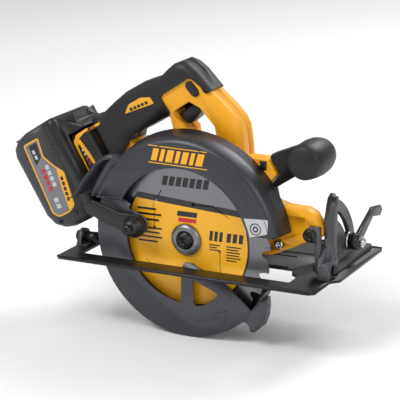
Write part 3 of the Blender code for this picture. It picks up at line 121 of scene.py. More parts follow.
# --- Trees of nodes -------------------------------------------------------------------------------
class NodeKit:
    """Adds nodes to a tree and wires them from small tables of inputs."""

    def __init__(self, tree: bpy.types.NodeTree) -> None:
        """Keeps the tree.

        Args:
            tree: a shader or geometry node tree.
        """
        self.tree = tree

    def add(self, kind: str, inputs: dict[Any, Any] | None = None, **settings: Any) -> bpy.types.Node:
        """Adds one node.

        Args:
            kind: the node's type name.
            inputs: input name or number to a value, or to the socket that feeds it.
            **settings: properties of the node itself.

        Returns:
            The new node.
        """
        node = self.tree.nodes.new(kind)
        for name, value in settings.items():
            setattr(node, name, value)
        for key, value in (inputs or {}).items():
            if isinstance(value, bpy.types.NodeSocket):
                self.tree.links.new(value, node.inputs[key])
            else:
                node.inputs[key].default_value = value
        return node

    def math(self, operation: str, first: Any, second: Any = 0.0) -> bpy.types.NodeSocket:
        """Adds a Math node and returns its value."""
        return self.add("ShaderNodeMath", {0: first, 1: second}, operation=operation).outputs[0]

    def mix(self, factor: Any, first: Any, second: Any) -> bpy.types.NodeSocket:
        """Adds a colour Mix node and returns its colour."""
        node = self.add("ShaderNodeMix", {"Factor": factor}, data_type="RGBA")
        for index, value in ((6, first), (7, second)):
            if isinstance(value, bpy.types.NodeSocket):
                self.tree.links.new(value, node.inputs[index])
            else:
                node.inputs[index].default_value = (*value, 1.0)
        return node.outputs[2]

    def spread(self, value: Any, low: float, high: float) -> bpy.types.NodeSocket:
        """Maps a value from 0..1 onto low..high."""
        return self.add("ShaderNodeMapRange", {"Value": value, "To Min": low, "To Max": high}).outputs[0]

    def link(self, source: bpy.types.NodeSocket, target: bpy.types.NodeSocket) -> None:
        """Links two sockets."""
        self.tree.links.new(source, target)


def group_tree(name: str, kind: str, inputs: Iterable[tuple],
               outputs: Iterable[tuple]) -> bpy.types.NodeTree:
    """Makes a node group with named sockets.

    Args:
        name: the group's name.
        kind: ShaderNodeTree or GeometryNodeTree.
        inputs: (name, socket type, default) rows; a default of None is left alone.
        outputs: (name, socket type) rows.

    Returns:
        The tree, with its Group Input and Group Output nodes still to be added.
    """
    tree = bpy.data.node_groups.new(name, kind)
    for label, socket_type, default in inputs:
        socket = tree.interface.new_socket(label, in_out="INPUT", socket_type=socket_type)
        if default is not None:
            socket.default_value = default
    for label, socket_type in outputs:
        tree.interface.new_socket(label, in_out="OUTPUT", socket_type=socket_type)
    return tree


FLOAT = "NodeSocketFloat"
VECTOR = "NodeSocketVector"
WHOLE = "NodeSocketInt"
MESH = "NodeSocketGeometry"
LOOK = "NodeSocketMaterial"


class Effects:
    """Shader groups that several finishes share, each built once."""

    _built: dict[str, bpy.types.NodeTree] = {}

    @classmethod
    def get(cls, name: str) -> bpy.types.NodeTree:
        """Returns the group of that name, building it the first time."""
        if name not in cls._built:
            cls._built[name] = getattr(cls, f"_make_{name}")()
        return cls._built[name]

    @staticmethod
    def _make_surface_grain() -> bpy.types.NodeTree:
        """Fine moulded or cast texture over a slow drift in tone."""
        tree = group_tree(
            "surface_grain",
            "ShaderNodeTree",
            [("Vector", VECTOR, None), ("Grain Scale", FLOAT, 900.0), ("Drift Scale", FLOAT, 18.0)],
            [("Height", FLOAT), ("Drift", FLOAT)],
        )
        kit = NodeKit(tree)
        source = kit.add("NodeGroupInput").outputs
        fine = kit.add(
            "ShaderNodeTexNoise",
            {"Vector": source["Vector"], "Scale": source["Grain Scale"], "Detail": 4.0, "Roughness": 0.6},
        )
        slow = kit.add(
            "ShaderNodeTexNoise",
            {"Vector": source["Vector"], "Scale": source["Drift Scale"], "Detail": 5.0},
        )
        kit.add("NodeGroupOutput", {"Height": fine.outputs["Fac"], "Drift": slow.outputs["Fac"]})
        return tree

    @staticmethod
    def _make_edge_wear() -> bpy.types.NodeTree:
        """Rounded edges for the light to catch, and a mask of where they are rubbed."""
        tree = group_tree(
            "edge_wear",
            "ShaderNodeTree",
            [("Vector", VECTOR, None), ("Radius", FLOAT, 0.0005), ("Breakup Scale", FLOAT, 120.0)],
            [("Mask", FLOAT), ("Normal", VECTOR)],
        )
        kit = NodeKit(tree)
        source = kit.add("NodeGroupInput").outputs
        soft = kit.add("ShaderNodeBevel", {"Radius": source["Radius"]}, samples=4)
        flat = kit.add("ShaderNodeNewGeometry")
        same = kit.add(
            "ShaderNodeVectorMath",
            {0: soft.outputs["Normal"], 1: flat.outputs["Normal"]},
            operation="DOT_PRODUCT",
        )
        turned = kit.math("SUBTRACT", 1.0, same.outputs["Value"])
        edge = kit.add("ShaderNodeMapRange", {"Value": turned, "From Min": 0.02, "From Max": 0.22})
        patchy = kit.add(
            "ShaderNodeTexNoise",
            {"Vector": source["Vector"], "Scale": source["Breakup Scale"], "Detail": 3.0},
        )
        rubbed = kit.add(
            "ShaderNodeMapRange", {"Value": patchy.outputs["Fac"], "From Min": 0.42, "From Max": 0.62}
        )
        mask = kit.math("MULTIPLY", edge.outputs[0], rubbed.outputs[0])
        kit.add("NodeGroupOutput", {"Mask": mask, "Normal": soft.outputs["Normal"]})
        return tree

    @staticmethod
    def _make_brushing() -> bpy.types.NodeTree:
        """Long fine scratches: along X, or round the Y axis when Round is 1."""
        tree = group_tree(
            "brushing",
            "ShaderNodeTree",
            [("Vector", VECTOR, None), ("Round", FLOAT, 0.0), ("Scale", FLOAT, 1400.0)],
            [("Height", FLOAT)],
        )
        kit = NodeKit(tree)
        source = kit.add("NodeGroupInput").outputs
        axes = kit.add("ShaderNodeSeparateXYZ", {"Vector": source["Vector"]}).outputs
        squares = kit.math("ADD", kit.math("POWER", axes["X"], 2.0), kit.math("POWER", axes["Z"], 2.0))
        radius = kit.math("SQRT", squares)
        angle = kit.math("ARCTAN2", axes["Z"], axes["X"])
        straight = kit.add(
            "ShaderNodeCombineXYZ",
            {"X": kit.math("MULTIPLY", axes["X"], 0.02), "Y": axes["Y"], "Z": axes["Z"]},
        )
        polar = kit.add(
            "ShaderNodeCombineXYZ", {"X": kit.math("MULTIPLY", angle, 0.0015), "Y": axes["Y"], "Z": radius}
        )
        choice = kit.add(
            "ShaderNodeMix",
            {"Factor": source["Round"], 4: straight.outputs[0], 5: polar.outputs[0]},
            data_type="VECTOR",
        )
        noise = kit.add(
            "ShaderNodeTexNoise",
            {"Vector": choice.outputs[1], "Scale": source["Scale"], "Detail": 3.0, "Roughness": 0.7},
        )
        kit.add("NodeGroupOutput", {"Height": noise.outputs["Fac"]})
        return tree


# --- Finishes -------------------------------------------------------------------------------------
@dataclass(frozen=True)
class Finish:
    """A moulded, cast or painted surface.

    The grain is the texture's size in millimetres, and worn is the colour of rubbed edges.
    """

    name: str
    colour: Colour
    roughness: float
    metallic: float = 0.0
    grain: float = 0.7
    bump: float = 0.12
    drift: float = 0.08
    worn: Colour = (0.5, 0.5, 0.5)
    wear: float = 0.0
    edge: float = 0.6
    coat: float = 0.0
    slot: str = "black_plastic"

    def material(self) -> bpy.types.Material:
        """Returns this finish's material, building it the first time."""
        made = bpy.data.materials.get(self.name)
        if made is None:
            made = bpy.data.materials.new(self.name)
            made.use_nodes = True
            made.node_tree.nodes.clear()
            self.build(NodeKit(made.node_tree))
        return made

    def place(self, kit: NodeKit) -> bpy.types.NodeSocket:
        """Returns the coordinates that the textures read."""
        return kit.add("ShaderNodeTexCoord").outputs["Object"]

    def paint(self, kit: NodeKit, place: bpy.types.NodeSocket, drift: Any) -> bpy.types.NodeSocket:
        """Returns the colour before any wear.

        Args:
            kit: the material's nodes.
            place: coordinates.
            drift: slow tone variation from 0 to 1.
        """
        darker = tuple(c * (1.0 - self.drift) for c in self.colour)
        lighter = tuple(c * (1.0 + self.drift) for c in self.colour)
        return kit.mix(drift, darker, lighter)

    def height(self, kit: NodeKit, place: bpy.types.NodeSocket, grain: Any) -> bpy.types.NodeSocket:
        """Returns the height that the bump follows."""
        return grain

    def shine(self, kit: NodeKit, place: bpy.types.NodeSocket) -> Any:
        """Returns the metallic value, or the socket that feeds it."""
        return self.metallic

    def build(self, kit: NodeKit) -> None:
        """Fills a material's tree.

        Args:
            kit: the empty tree.
        """
        place = self.place(kit)
        grain = kit.add("ShaderNodeGroup", node_tree=Effects.get("surface_grain"))
        kit.link(place, grain.inputs["Vector"])
        grain.inputs["Grain Scale"].default_value = 1.0 / (self.grain * MM)
        wear = kit.add("ShaderNodeGroup", node_tree=Effects.get("edge_wear"))
        kit.link(place, wear.inputs["Vector"])
        wear.inputs["Radius"].default_value = self.edge * MM
        colour = self.paint(kit, place, grain.outputs["Drift"])
        rubbed = kit.math("MULTIPLY", wear.outputs["Mask"], self.wear)
        colour = kit.mix(rubbed, colour, self.worn)
        bump = kit.add(
            "ShaderNodeBump",
            {
                "Strength": self.bump,
                "Distance": 0.25 * MM,
                "Height": self.height(kit, place, grain.outputs["Height"]),
                "Normal": wear.outputs["Normal"],
            },
        )
        rough = kit.spread(grain.outputs["Drift"], self.roughness - 0.09, self.roughness + 0.09)
        shader = kit.add(
            "ShaderNodeBsdfPrincipled",
            {
                "Base Color": colour,
                "Roughness": rough,
                "Metallic": self.shine(kit, place),
                "Normal": bump.outputs["Normal"],
                "Coat Weight": self.coat,
            },
        )
        kit.add("ShaderNodeOutputMaterial", {"Surface": shader.outputs["BSDF"]})


@dataclass(frozen=True)
class BrushedMetal(Finish):
    """Metal with long fine scratches, straight or round the arbor."""

    round_arbor: bool = False

    def place(self, kit: NodeKit) -> bpy.types.NodeSocket:
        """Returns coordinates centred on the arbor."""
        place = kit.add("ShaderNodeTexCoord").outputs["Object"]
        moved = kit.add("ShaderNodeMapping", {"Vector": place, "Location": (0.0, 0.0, -ARBOR[1] * MM)})
        return moved.outputs["Vector"]

    def height(self, kit: NodeKit, place: bpy.types.NodeSocket, grain: Any) -> bpy.types.NodeSocket:
        """Returns the scratches' height."""
        group = kit.add("ShaderNodeGroup", node_tree=Effects.get("brushing"))
        kit.link(place, group.inputs["Vector"])
        group.inputs["Round"].default_value = 1.0 if self.round_arbor else 0.0
        return group.outputs["Height"]


@dataclass(frozen=True)
class PrintedBlade(BrushedMetal):
    """Ground steel with a printed disc: a colour field below a chord, bordered in black."""

    disc_radius: float = 67.0
    ring_radius: float = 69.2
    chord_low: float = 33.2
    chord_high: float = 39.6
    chord_turn: float = 4.0
    disc_colour: Colour = (0.86, 0.42, 0.012)
    border: Colour = (0.014, 0.014, 0.015)

    def masks(self, kit: NodeKit, place: bpy.types.NodeSocket) -> tuple[Any, Any]:
        """Returns the masks of the colour field and of the black border."""
        axes = kit.add("ShaderNodeSeparateXYZ", {"Vector": place}).outputs
        squares = kit.math("ADD", kit.math("POWER", axes["X"], 2.0), kit.math("POWER", axes["Z"], 2.0))
        radius = kit.math("SQRT", squares)
        turn = math.radians(self.chord_turn)
        along = kit.math(
            "ADD",
            kit.math("MULTIPLY", axes["X"], math.sin(turn)),
            kit.math("MULTIPLY", axes["Z"], math.cos(turn)),
        )
        in_disc = kit.math("LESS_THAN", radius, self.disc_radius * MM)
        in_ring = kit.math("LESS_THAN", radius, self.ring_radius * MM)
        below = kit.math("LESS_THAN", along, self.chord_low * MM)
        under = kit.math("LESS_THAN", along, self.chord_high * MM)
        field_mask = kit.math("MULTIPLY", in_disc, below)
        printed = kit.math("MULTIPLY", in_ring, under)
        return field_mask, printed

    def paint(self, kit: NodeKit, place: bpy.types.NodeSocket, drift: Any) -> bpy.types.NodeSocket:
        """Returns the steel, the border and the colour field."""
        field_mask, printed = self.masks(kit, place)
        steel = Finish.paint(self, kit, place, drift)
        bordered = kit.mix(printed, steel, self.border)
        return kit.mix(field_mask, bordered, self.disc_colour)

    def shine(self, kit: NodeKit, place: bpy.types.NodeSocket) -> Any:
        """Print is not metallic."""
        _, printed = self.masks(kit, place)
        return kit.math("MULTIPLY", kit.math("SUBTRACT", 1.0, printed), self.metallic)


@dataclass(frozen=True)
class Windings(Finish):
    """Varnished wire laid in close turns."""

    pitch: float = 0.8

    def height(self, kit: NodeKit, place: bpy.types.NodeSocket, grain: Any) -> bpy.types.NodeSocket:
        """Returns the height of the turns."""
        wave = kit.add(
            "ShaderNodeTexWave",
            {"Vector": place, "Scale": 0.3 / (self.pitch * MM), "Distortion": 1.5, "Detail": 1.0},
        )
        return wave.outputs["Fac"]


YELLOW = Finish("yellow_moulding", (0.86, 0.375, 0.004), 0.46, grain=0.5, bump=0.10, drift=0.04,
                worn=(0.93, 0.50, 0.05), wear=0.25, edge=0.9, slot="yellow_plastic")
BLACK = Finish("black_moulding", (0.007, 0.007, 0.008), 0.40, grain=0.5, bump=0.16, drift=0.20,
               worn=(0.05, 0.05, 0.055), wear=0.5, edge=0.7, slot="black_plastic")
CHARCOAL = Finish("charcoal_moulding", (0.030, 0.031, 0.036), 0.46, grain=0.45, bump=0.18, drift=0.12,
                  worn=(0.12, 0.12, 0.13), wear=0.45, edge=0.8, slot="black_plastic")
RUBBER = Finish("soft_grip", (0.006, 0.006, 0.007), 0.50, grain=0.9, bump=0.34, drift=0.18,
                worn=(0.04, 0.04, 0.042), wear=0.4, edge=1.0, slot="rubber_grip")
GREY = Finish("grey_moulding", (0.16, 0.16, 0.17), 0.5, slot="grey_plastic")
GUARD_COAT = Finish("guard_coating", (0.046, 0.048, 0.055), 0.38, metallic=0.45, grain=0.35, bump=0.14,
                    drift=0.10, worn=(0.30, 0.30, 0.32), wear=0.55, edge=0.9, slot="guard_cast")
# Painted light: the lower guard has the same grey coating as the upper guard, and this lighter copy paints
# the brighter light it receives.
LIT_LOWER_GUARD_COAT = Finish("guard_coating_painted_lit", (0.085, 0.087, 0.098), 0.42, metallic=0.5, grain=0.35,
                    bump=0.14, drift=0.10, worn=(0.34, 0.34, 0.36), wear=0.6, edge=0.8, slot="guard_cast")
CAST = Finish("dark_casting", (0.085, 0.087, 0.094), 0.44, metallic=0.6, grain=0.6, bump=0.30,
              drift=0.14, worn=(0.34, 0.34, 0.35), wear=0.7, edge=0.7, slot="cast_dark")
BARE_CAST = Finish("bare_casting", (0.42, 0.42, 0.43), 0.42, metallic=0.9, grain=0.8, bump=0.35,
                   drift=0.10, worn=(0.6, 0.6, 0.6), wear=0.5, slot="cast_bare")
SHOE_COAT = Finish("shoe_coating", (0.008, 0.008, 0.009), 0.36, metallic=0.2, grain=0.5, bump=0.16,
                   drift=0.18, worn=(0.20, 0.20, 0.21), wear=0.7, edge=0.5, slot="shoe_plate")
BLACK_STEEL = Finish("black_oxide_steel", (0.035, 0.035, 0.038), 0.34, metallic=0.8, grain=0.5, bump=0.12,
                     drift=0.2, worn=(0.35, 0.35, 0.36), wear=0.7, edge=0.4, slot="fastener_dark")
ZINC = BrushedMetal("zinc_plating", (0.52, 0.52, 0.53), 0.26, metallic=1.0, bump=0.10, drift=0.10,
                    worn=(0.7, 0.7, 0.7), wear=0.4, edge=0.4, slot="fastener_bright")
PLATE = BrushedMetal("rolled_plate", (0.30, 0.30, 0.31), 0.34, metallic=1.0, bump=0.16, drift=0.12,
                     worn=(0.6, 0.6, 0.6), wear=0.5, edge=0.4, slot="plate_steel")
FLANGE = BrushedMetal("turned_flange", (0.24, 0.24, 0.25), 0.36, metallic=0.9, bump=0.2, drift=0.12,
                      worn=(0.6, 0.6, 0.6), wear=0.5, edge=0.5, slot="plate_steel", round_arbor=True)
SPRING = BrushedMetal("spring_wire", (0.38, 0.38, 0.40), 0.28, metallic=1.0, slot="spring_steel")
GROUND = BrushedMetal("ground_steel", (0.55, 0.55, 0.57), 0.2, metallic=1.0, slot="bearing_steel",
                      round_arbor=True)
CARBIDE = Finish("carbide", (0.17, 0.17, 0.175), 0.3, metallic=0.9, grain=0.3, bump=0.2,
                 worn=(0.6, 0.6, 0.6), wear=0.4, edge=0.2, slot="blade_coat")
BLADE = PrintedBlade("printed_blade", (0.20, 0.205, 0.22), 0.30, metallic=0.95, bump=0.16, drift=0.10,
                     worn=(0.7, 0.7, 0.7), wear=0.3, edge=0.3, slot="blade_coat", round_arbor=True)
COPPER = Windings("varnished_copper", (0.50, 0.19, 0.06), 0.32, metallic=0.9, bump=0.6,
                  slot="copper_winding")
BOARD = Finish("potted_board", (0.02, 0.06, 0.035), 0.4, slot="electronics")
CELL = Finish("cell_wrap", (0.05, 0.16, 0.30), 0.35, drift=0.05, slot="electronics")
INK_YELLOW = Finish("yellow_ink", (0.84, 0.39, 0.006), 0.44, grain=0.4, bump=0.05, drift=0.05,
                    edge=0.1, slot="yellow_plastic")
INK_BLACK = Finish("black_ink", (0.012, 0.012, 0.013), 0.42, grain=0.4, bump=0.05, edge=0.1,
                   slot="black_plastic")
INK_GREY = Finish("grey_ink", (0.17, 0.17, 0.18), 0.40, grain=0.4, bump=0.06, edge=0.1, slot="grey_plastic")
INK_SILVER = Finish("silver_ink", (0.50, 0.50, 0.52), 0.34, metallic=0.4, grain=0.4, bump=0.05,
                    edge=0.1, slot="grey_plastic")
INK_RED = Finish("red_ink", (0.52, 0.012, 0.02), 0.40, grain=0.4, bump=0.05, edge=0.1, slot="black_plastic")


# --- Shapes ---------------------------------------------------------------------------------------
def arc(cx: float, cz: float, radius: float, start: float, end: float, count: int) -> list[Point2]:
    """Returns points along an arc, in degrees, both ends included."""
    steps = [math.radians(start + (end - start) * i / (count - 1)) for i in range(count)]
    return [(cx + radius * math.cos(a), cz + radius * math.sin(a)) for a in steps]


def rectangle(left: float, low: float, right: float, high: float) -> list[Point2]:
    """Returns a rectangle's corners."""
    return [(left, low), (right, low), (right, high), (left, high)]


def rounded(outline: Outline, radius: float, steps: int = 4) -> list[Point2]:
    """Rounds the corners of an outline.

    Args:
        outline: the corners.
        radius: how far from a corner its round begins.
        steps: points along each round, less one.

    Returns:
        The rounded outline.
    """
    result = []
    count = len(outline)
    for i, corner in enumerate(outline):
        here = Vector(corner)
        before = Vector(outline[i - 1]) - here
        after = Vector(outline[(i + 1) % count]) - here
        reach = min(radius, before.length * 0.45, after.length * 0.45)
        start = here + before.normalized() * reach
        end = here + after.normalized() * reach
        for step in range(steps + 1):
            t = step / steps
            point = start * (1 - t) ** 2 + here * (2 * t * (1 - t)) + end * t**2
            result.append((point.x, point.y))
    return result


def shrink(outline: Outline, distance: float) -> list[Point2]:
    """Moves each side of an outline inwards by a distance."""
    area = sum(a[0] * b[1] - b[0] * a[1] for a, b in zip(outline, [*outline[1:], outline[0]]))
    sign = 1.0 if area > 0 else -1.0
    result = []
    for i, corner in enumerate(outline):
        here = Vector(corner)
        into = (here - Vector(outline[i - 1])).normalized()
        away = (Vector(outline[(i + 1) % len(outline)]) - here).normalized()
        normal = Vector((-(into.y + away.y), into.x + away.x)) * sign
        if normal.length < 1e-6:
            normal = Vector((-into.y, into.x)) * sign
        normal.normalize()
        side = Vector((-into.y, into.x)) * sign
        normal *= distance / max(normal.dot(side), 0.4)
        result.append((here.x + normal.x, here.y + normal.y))
    return result


def dashes(start: Point2, end: Point2, width: float, count: int, share: float) -> list[list[Point2]]:
    """Splits a band along a line into dashes.

    Args:
        start: where the line begins.
        end: where it ends.
        width: of the band.
        count: how many dashes.
        share: how much of its own stretch each dash fills.

    Returns:
        The dashes' outlines.
    """
    first, whole = Vector(start), Vector(end) - Vector(start)
    way = whole.normalized()
    side = Vector((-way.y, way.x)) * width / 2
    shapes = []
    for i in range(count):
        low = first + whole * (i / count)
        high = first + whole * ((i + share) / count)
        shapes.append([tuple(low - side), tuple(high - side), tuple(high + side), tuple(low + side)])
    return shapes


def pack_place(along: float, normal: float) -> Point2:
    """Turns battery coordinates, along its long axis and square to it, into (x, z)."""
    lean = math.radians(PACK_LEAN)
    x = -along * math.sin(lean) + normal * math.cos(lean)
    z = along * math.cos(lean) + normal * math.sin(lean)
    return x, z


def new_object(name: str, mesh: bpy.types.Mesh) -> bpy.types.Object:
    """Links a new object that shows a mesh."""
    mesh.name = name
    made = bpy.data.objects.new(name, mesh)
    bpy.context.scene.collection.objects.link(made)
    return made


def mesh_from(name: str, points: Sequence[Sequence[float]],
              faces: Sequence[Sequence[int]]) -> bpy.types.Object:
    """Makes an object from points in metres and faces, with its normals pointing out."""
    mesh = bpy.data.meshes.new(name)
    mesh.from_pydata([tuple(p) for p in points], [], [tuple(f) for f in faces])
    tidy(mesh)
    return new_object(name, mesh)


def tidy(mesh: bpy.types.Mesh, distance: float = 1e-6) -> None:
    """Merges doubled points and turns every face outwards."""
    work = bmesh.new()
    work.from_mesh(mesh)
    bmesh.ops.remove_doubles(work, verts=work.verts, dist=distance)
    bmesh.ops.recalc_face_normals(work, faces=work.faces)
    work.to_mesh(mesh)
    work.free()


def soften(made: bpy.types.Object, angle: float = 35.0) -> None:
    """Shades smoothly across edges that turn less than an angle."""
    made.data.shade_smooth()
    made.data.set_sharp_from_angle(angle=math.radians(angle))


def apply_modifiers(made: bpy.types.Object) -> None:
    """Turns an object's modifiers into its mesh."""
    graph = bpy.context.evaluated_depsgraph_get()
    mesh = bpy.data.meshes.new_from_object(made.evaluated_get(graph))
    old = made.data
    made.modifiers.clear()
    made.data = mesh
    bpy.data.meshes.remove(old)
    mesh.name = made.name


def chamfer(made: bpy.types.Object, width: float, segments: int = 2) -> bpy.types.Object:
    """Rounds an object's sharp edges by a width in millimetres."""
    bevel = made.modifiers.new("round", "BEVEL")
    bevel.width = width * MM
    bevel.segments = segments
    bevel.limit_method = "ANGLE"
    bevel.angle_limit = math.radians(40.0)
    apply_modifiers(made)
    return made


def prism(name: str, outline: Outline, low: float, high: float, holes: Sequence[Outline] = (),
          round_by: float = 0.0) -> bpy.types.Object:
    """Extrudes a flat outline along Y.

    Args:
        name: the object's name.
        outline: its outer (x, z) points.
        low: the nearer Y.
        high: the farther Y.
        holes: outlines of holes.
        round_by: how much its edges are rounded.

    Returns:
        The object.
    """
    loops = [list(outline), *[list(h) for h in holes]]
    flat = [p for loop in loops for p in loop]
    triangles = tessellate_polygon([[Vector((x, z, 0.0)) for x, z in loop] for loop in loops])
    count = len(flat)
    points = [(x * MM, low * MM, z * MM) for x, z in flat] + [(x * MM, high * MM, z * MM) for x, z in flat]
    faces = [list(t) for t in triangles] + [[i + count for i in reversed(t)] for t in triangles]
    start = 0
    for loop in loops:
        size = len(loop)
        for i in range(size):
            a, b = start + i, start + (i + 1) % size
            faces.append([a, b, b + count, a + count])
        start += size
    made = mesh_from(name, points, faces)
    if round_by:
        chamfer(made, round_by)
    return made


def turn_to(made: bpy.types.Object, matrix: Matrix) -> bpy.types.Object:
    """Moves an object's mesh, so that the object itself stays at the origin."""
    made.data.transform(matrix)
    if matrix.to_3x3().determinant() < 0:
        made.data.flip_normals()
    return made


def thread(name: str, path: Sequence[Point3], radius: float, sides: int = 6) -> bpy.types.Object:
    """Makes a round bead along a path, all in millimetres."""
    curve = bpy.data.curves.new(name, "CURVE")
    curve.dimensions = "3D"
    curve.bevel_depth = radius * MM
    curve.bevel_resolution = max(0, sides // 2 - 1)
    curve.use_fill_caps = True
    spline = curve.splines.new("POLY")
    spline.points.add(len(path) - 1)
    for point, place in zip(spline.points, path):
        point.co = (*[c * MM for c in place], 1.0)
    holder = bpy.data.objects.new(name, curve)
    bpy.context.scene.collection.objects.link(holder)
    graph = bpy.context.evaluated_depsgraph_get()
    mesh = bpy.data.meshes.new_from_object(holder.evaluated_get(graph))
    bpy.data.objects.remove(holder)
    tidy(mesh)
    return new_object(name, mesh)


def merged(*names: str) -> BVHTree:
    """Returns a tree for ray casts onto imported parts."""
    points: list[Vector] = []
    faces: list[list[int]] = []
    for name in names:
        mesh = frame["nodes"][name].data
        start = len(points)
        points += [v.co.copy() for v in mesh.vertices]
        faces += [[i + start for i in p.vertices] for p in mesh.polygons]
    return BVHTree.FromPolygons(points, faces)


def wrapped(name: str, outline: Outline, onto: BVHTree, thickness: float, from_y: float = -90.0,
            holes: Sequence[Outline] = (), step: float = 2.5) -> bpy.types.Object:
    """Lays a thin plate over a curved surface.

    Args:
        name: the object's name.
        outline: its (x, z) outline, seen from the side it is laid from.
        onto: the surface.
        thickness: how far the plate stands proud, in millimetres.
        from_y: the Y it is laid from.
        holes: outlines of holes.
        step: the longest edge of its mesh.

    Returns:
        The object.
    """
    loops = [list(outline), *[list(h) for h in holes]]
    flat = [Vector((x * MM, from_y * MM, z * MM)) for loop in loops for x, z in loop]
    triangles = tessellate_polygon([[Vector((x, z, 0.0)) for x, z in loop] for loop in loops])
    work = bmesh.new()
    corners = [work.verts.new(p) for p in flat]
    for triangle in triangles:
        work.faces.new([corners[i] for i in triangle])
    for _ in range(6):
        long_edges = [e for e in work.edges if e.calc_length() > step * MM]
        if not long_edges:
            break
        bmesh.ops.subdivide_edges(work, edges=long_edges, cuts=1)
        bmesh.ops.triangulate(work, faces=work.faces)
    way = Vector((0.0, 1.0, 0.0))
    for vert in work.verts:
        hit, normal, _, _ = onto.ray_cast(vert.co - way * 0.1, way)
        if hit is None:
            hit, normal, _, _ = onto.find_nearest(vert.co)
        if normal.dot(way) > 0:
            normal = -normal
        vert.co = hit + normal * thickness * MM
    bmesh.ops.recalc_face_normals(work, faces=work.faces)
    up = sum((f.normal * f.calc_area() for f in work.faces), Vector())
    if up.dot(way) > 0:
        bmesh.ops.reverse_faces(work, faces=work.faces)
    mesh = bpy.data.meshes.new(name)
    work.to_mesh(mesh)
    work.free()
    made = new_object(name, mesh)
    solid = made.modifiers.new("wall", "SOLIDIFY")
    solid.thickness = (thickness + 0.12) * MM
    solid.offset = -1.0
    apply_modifiers(made)
    return made


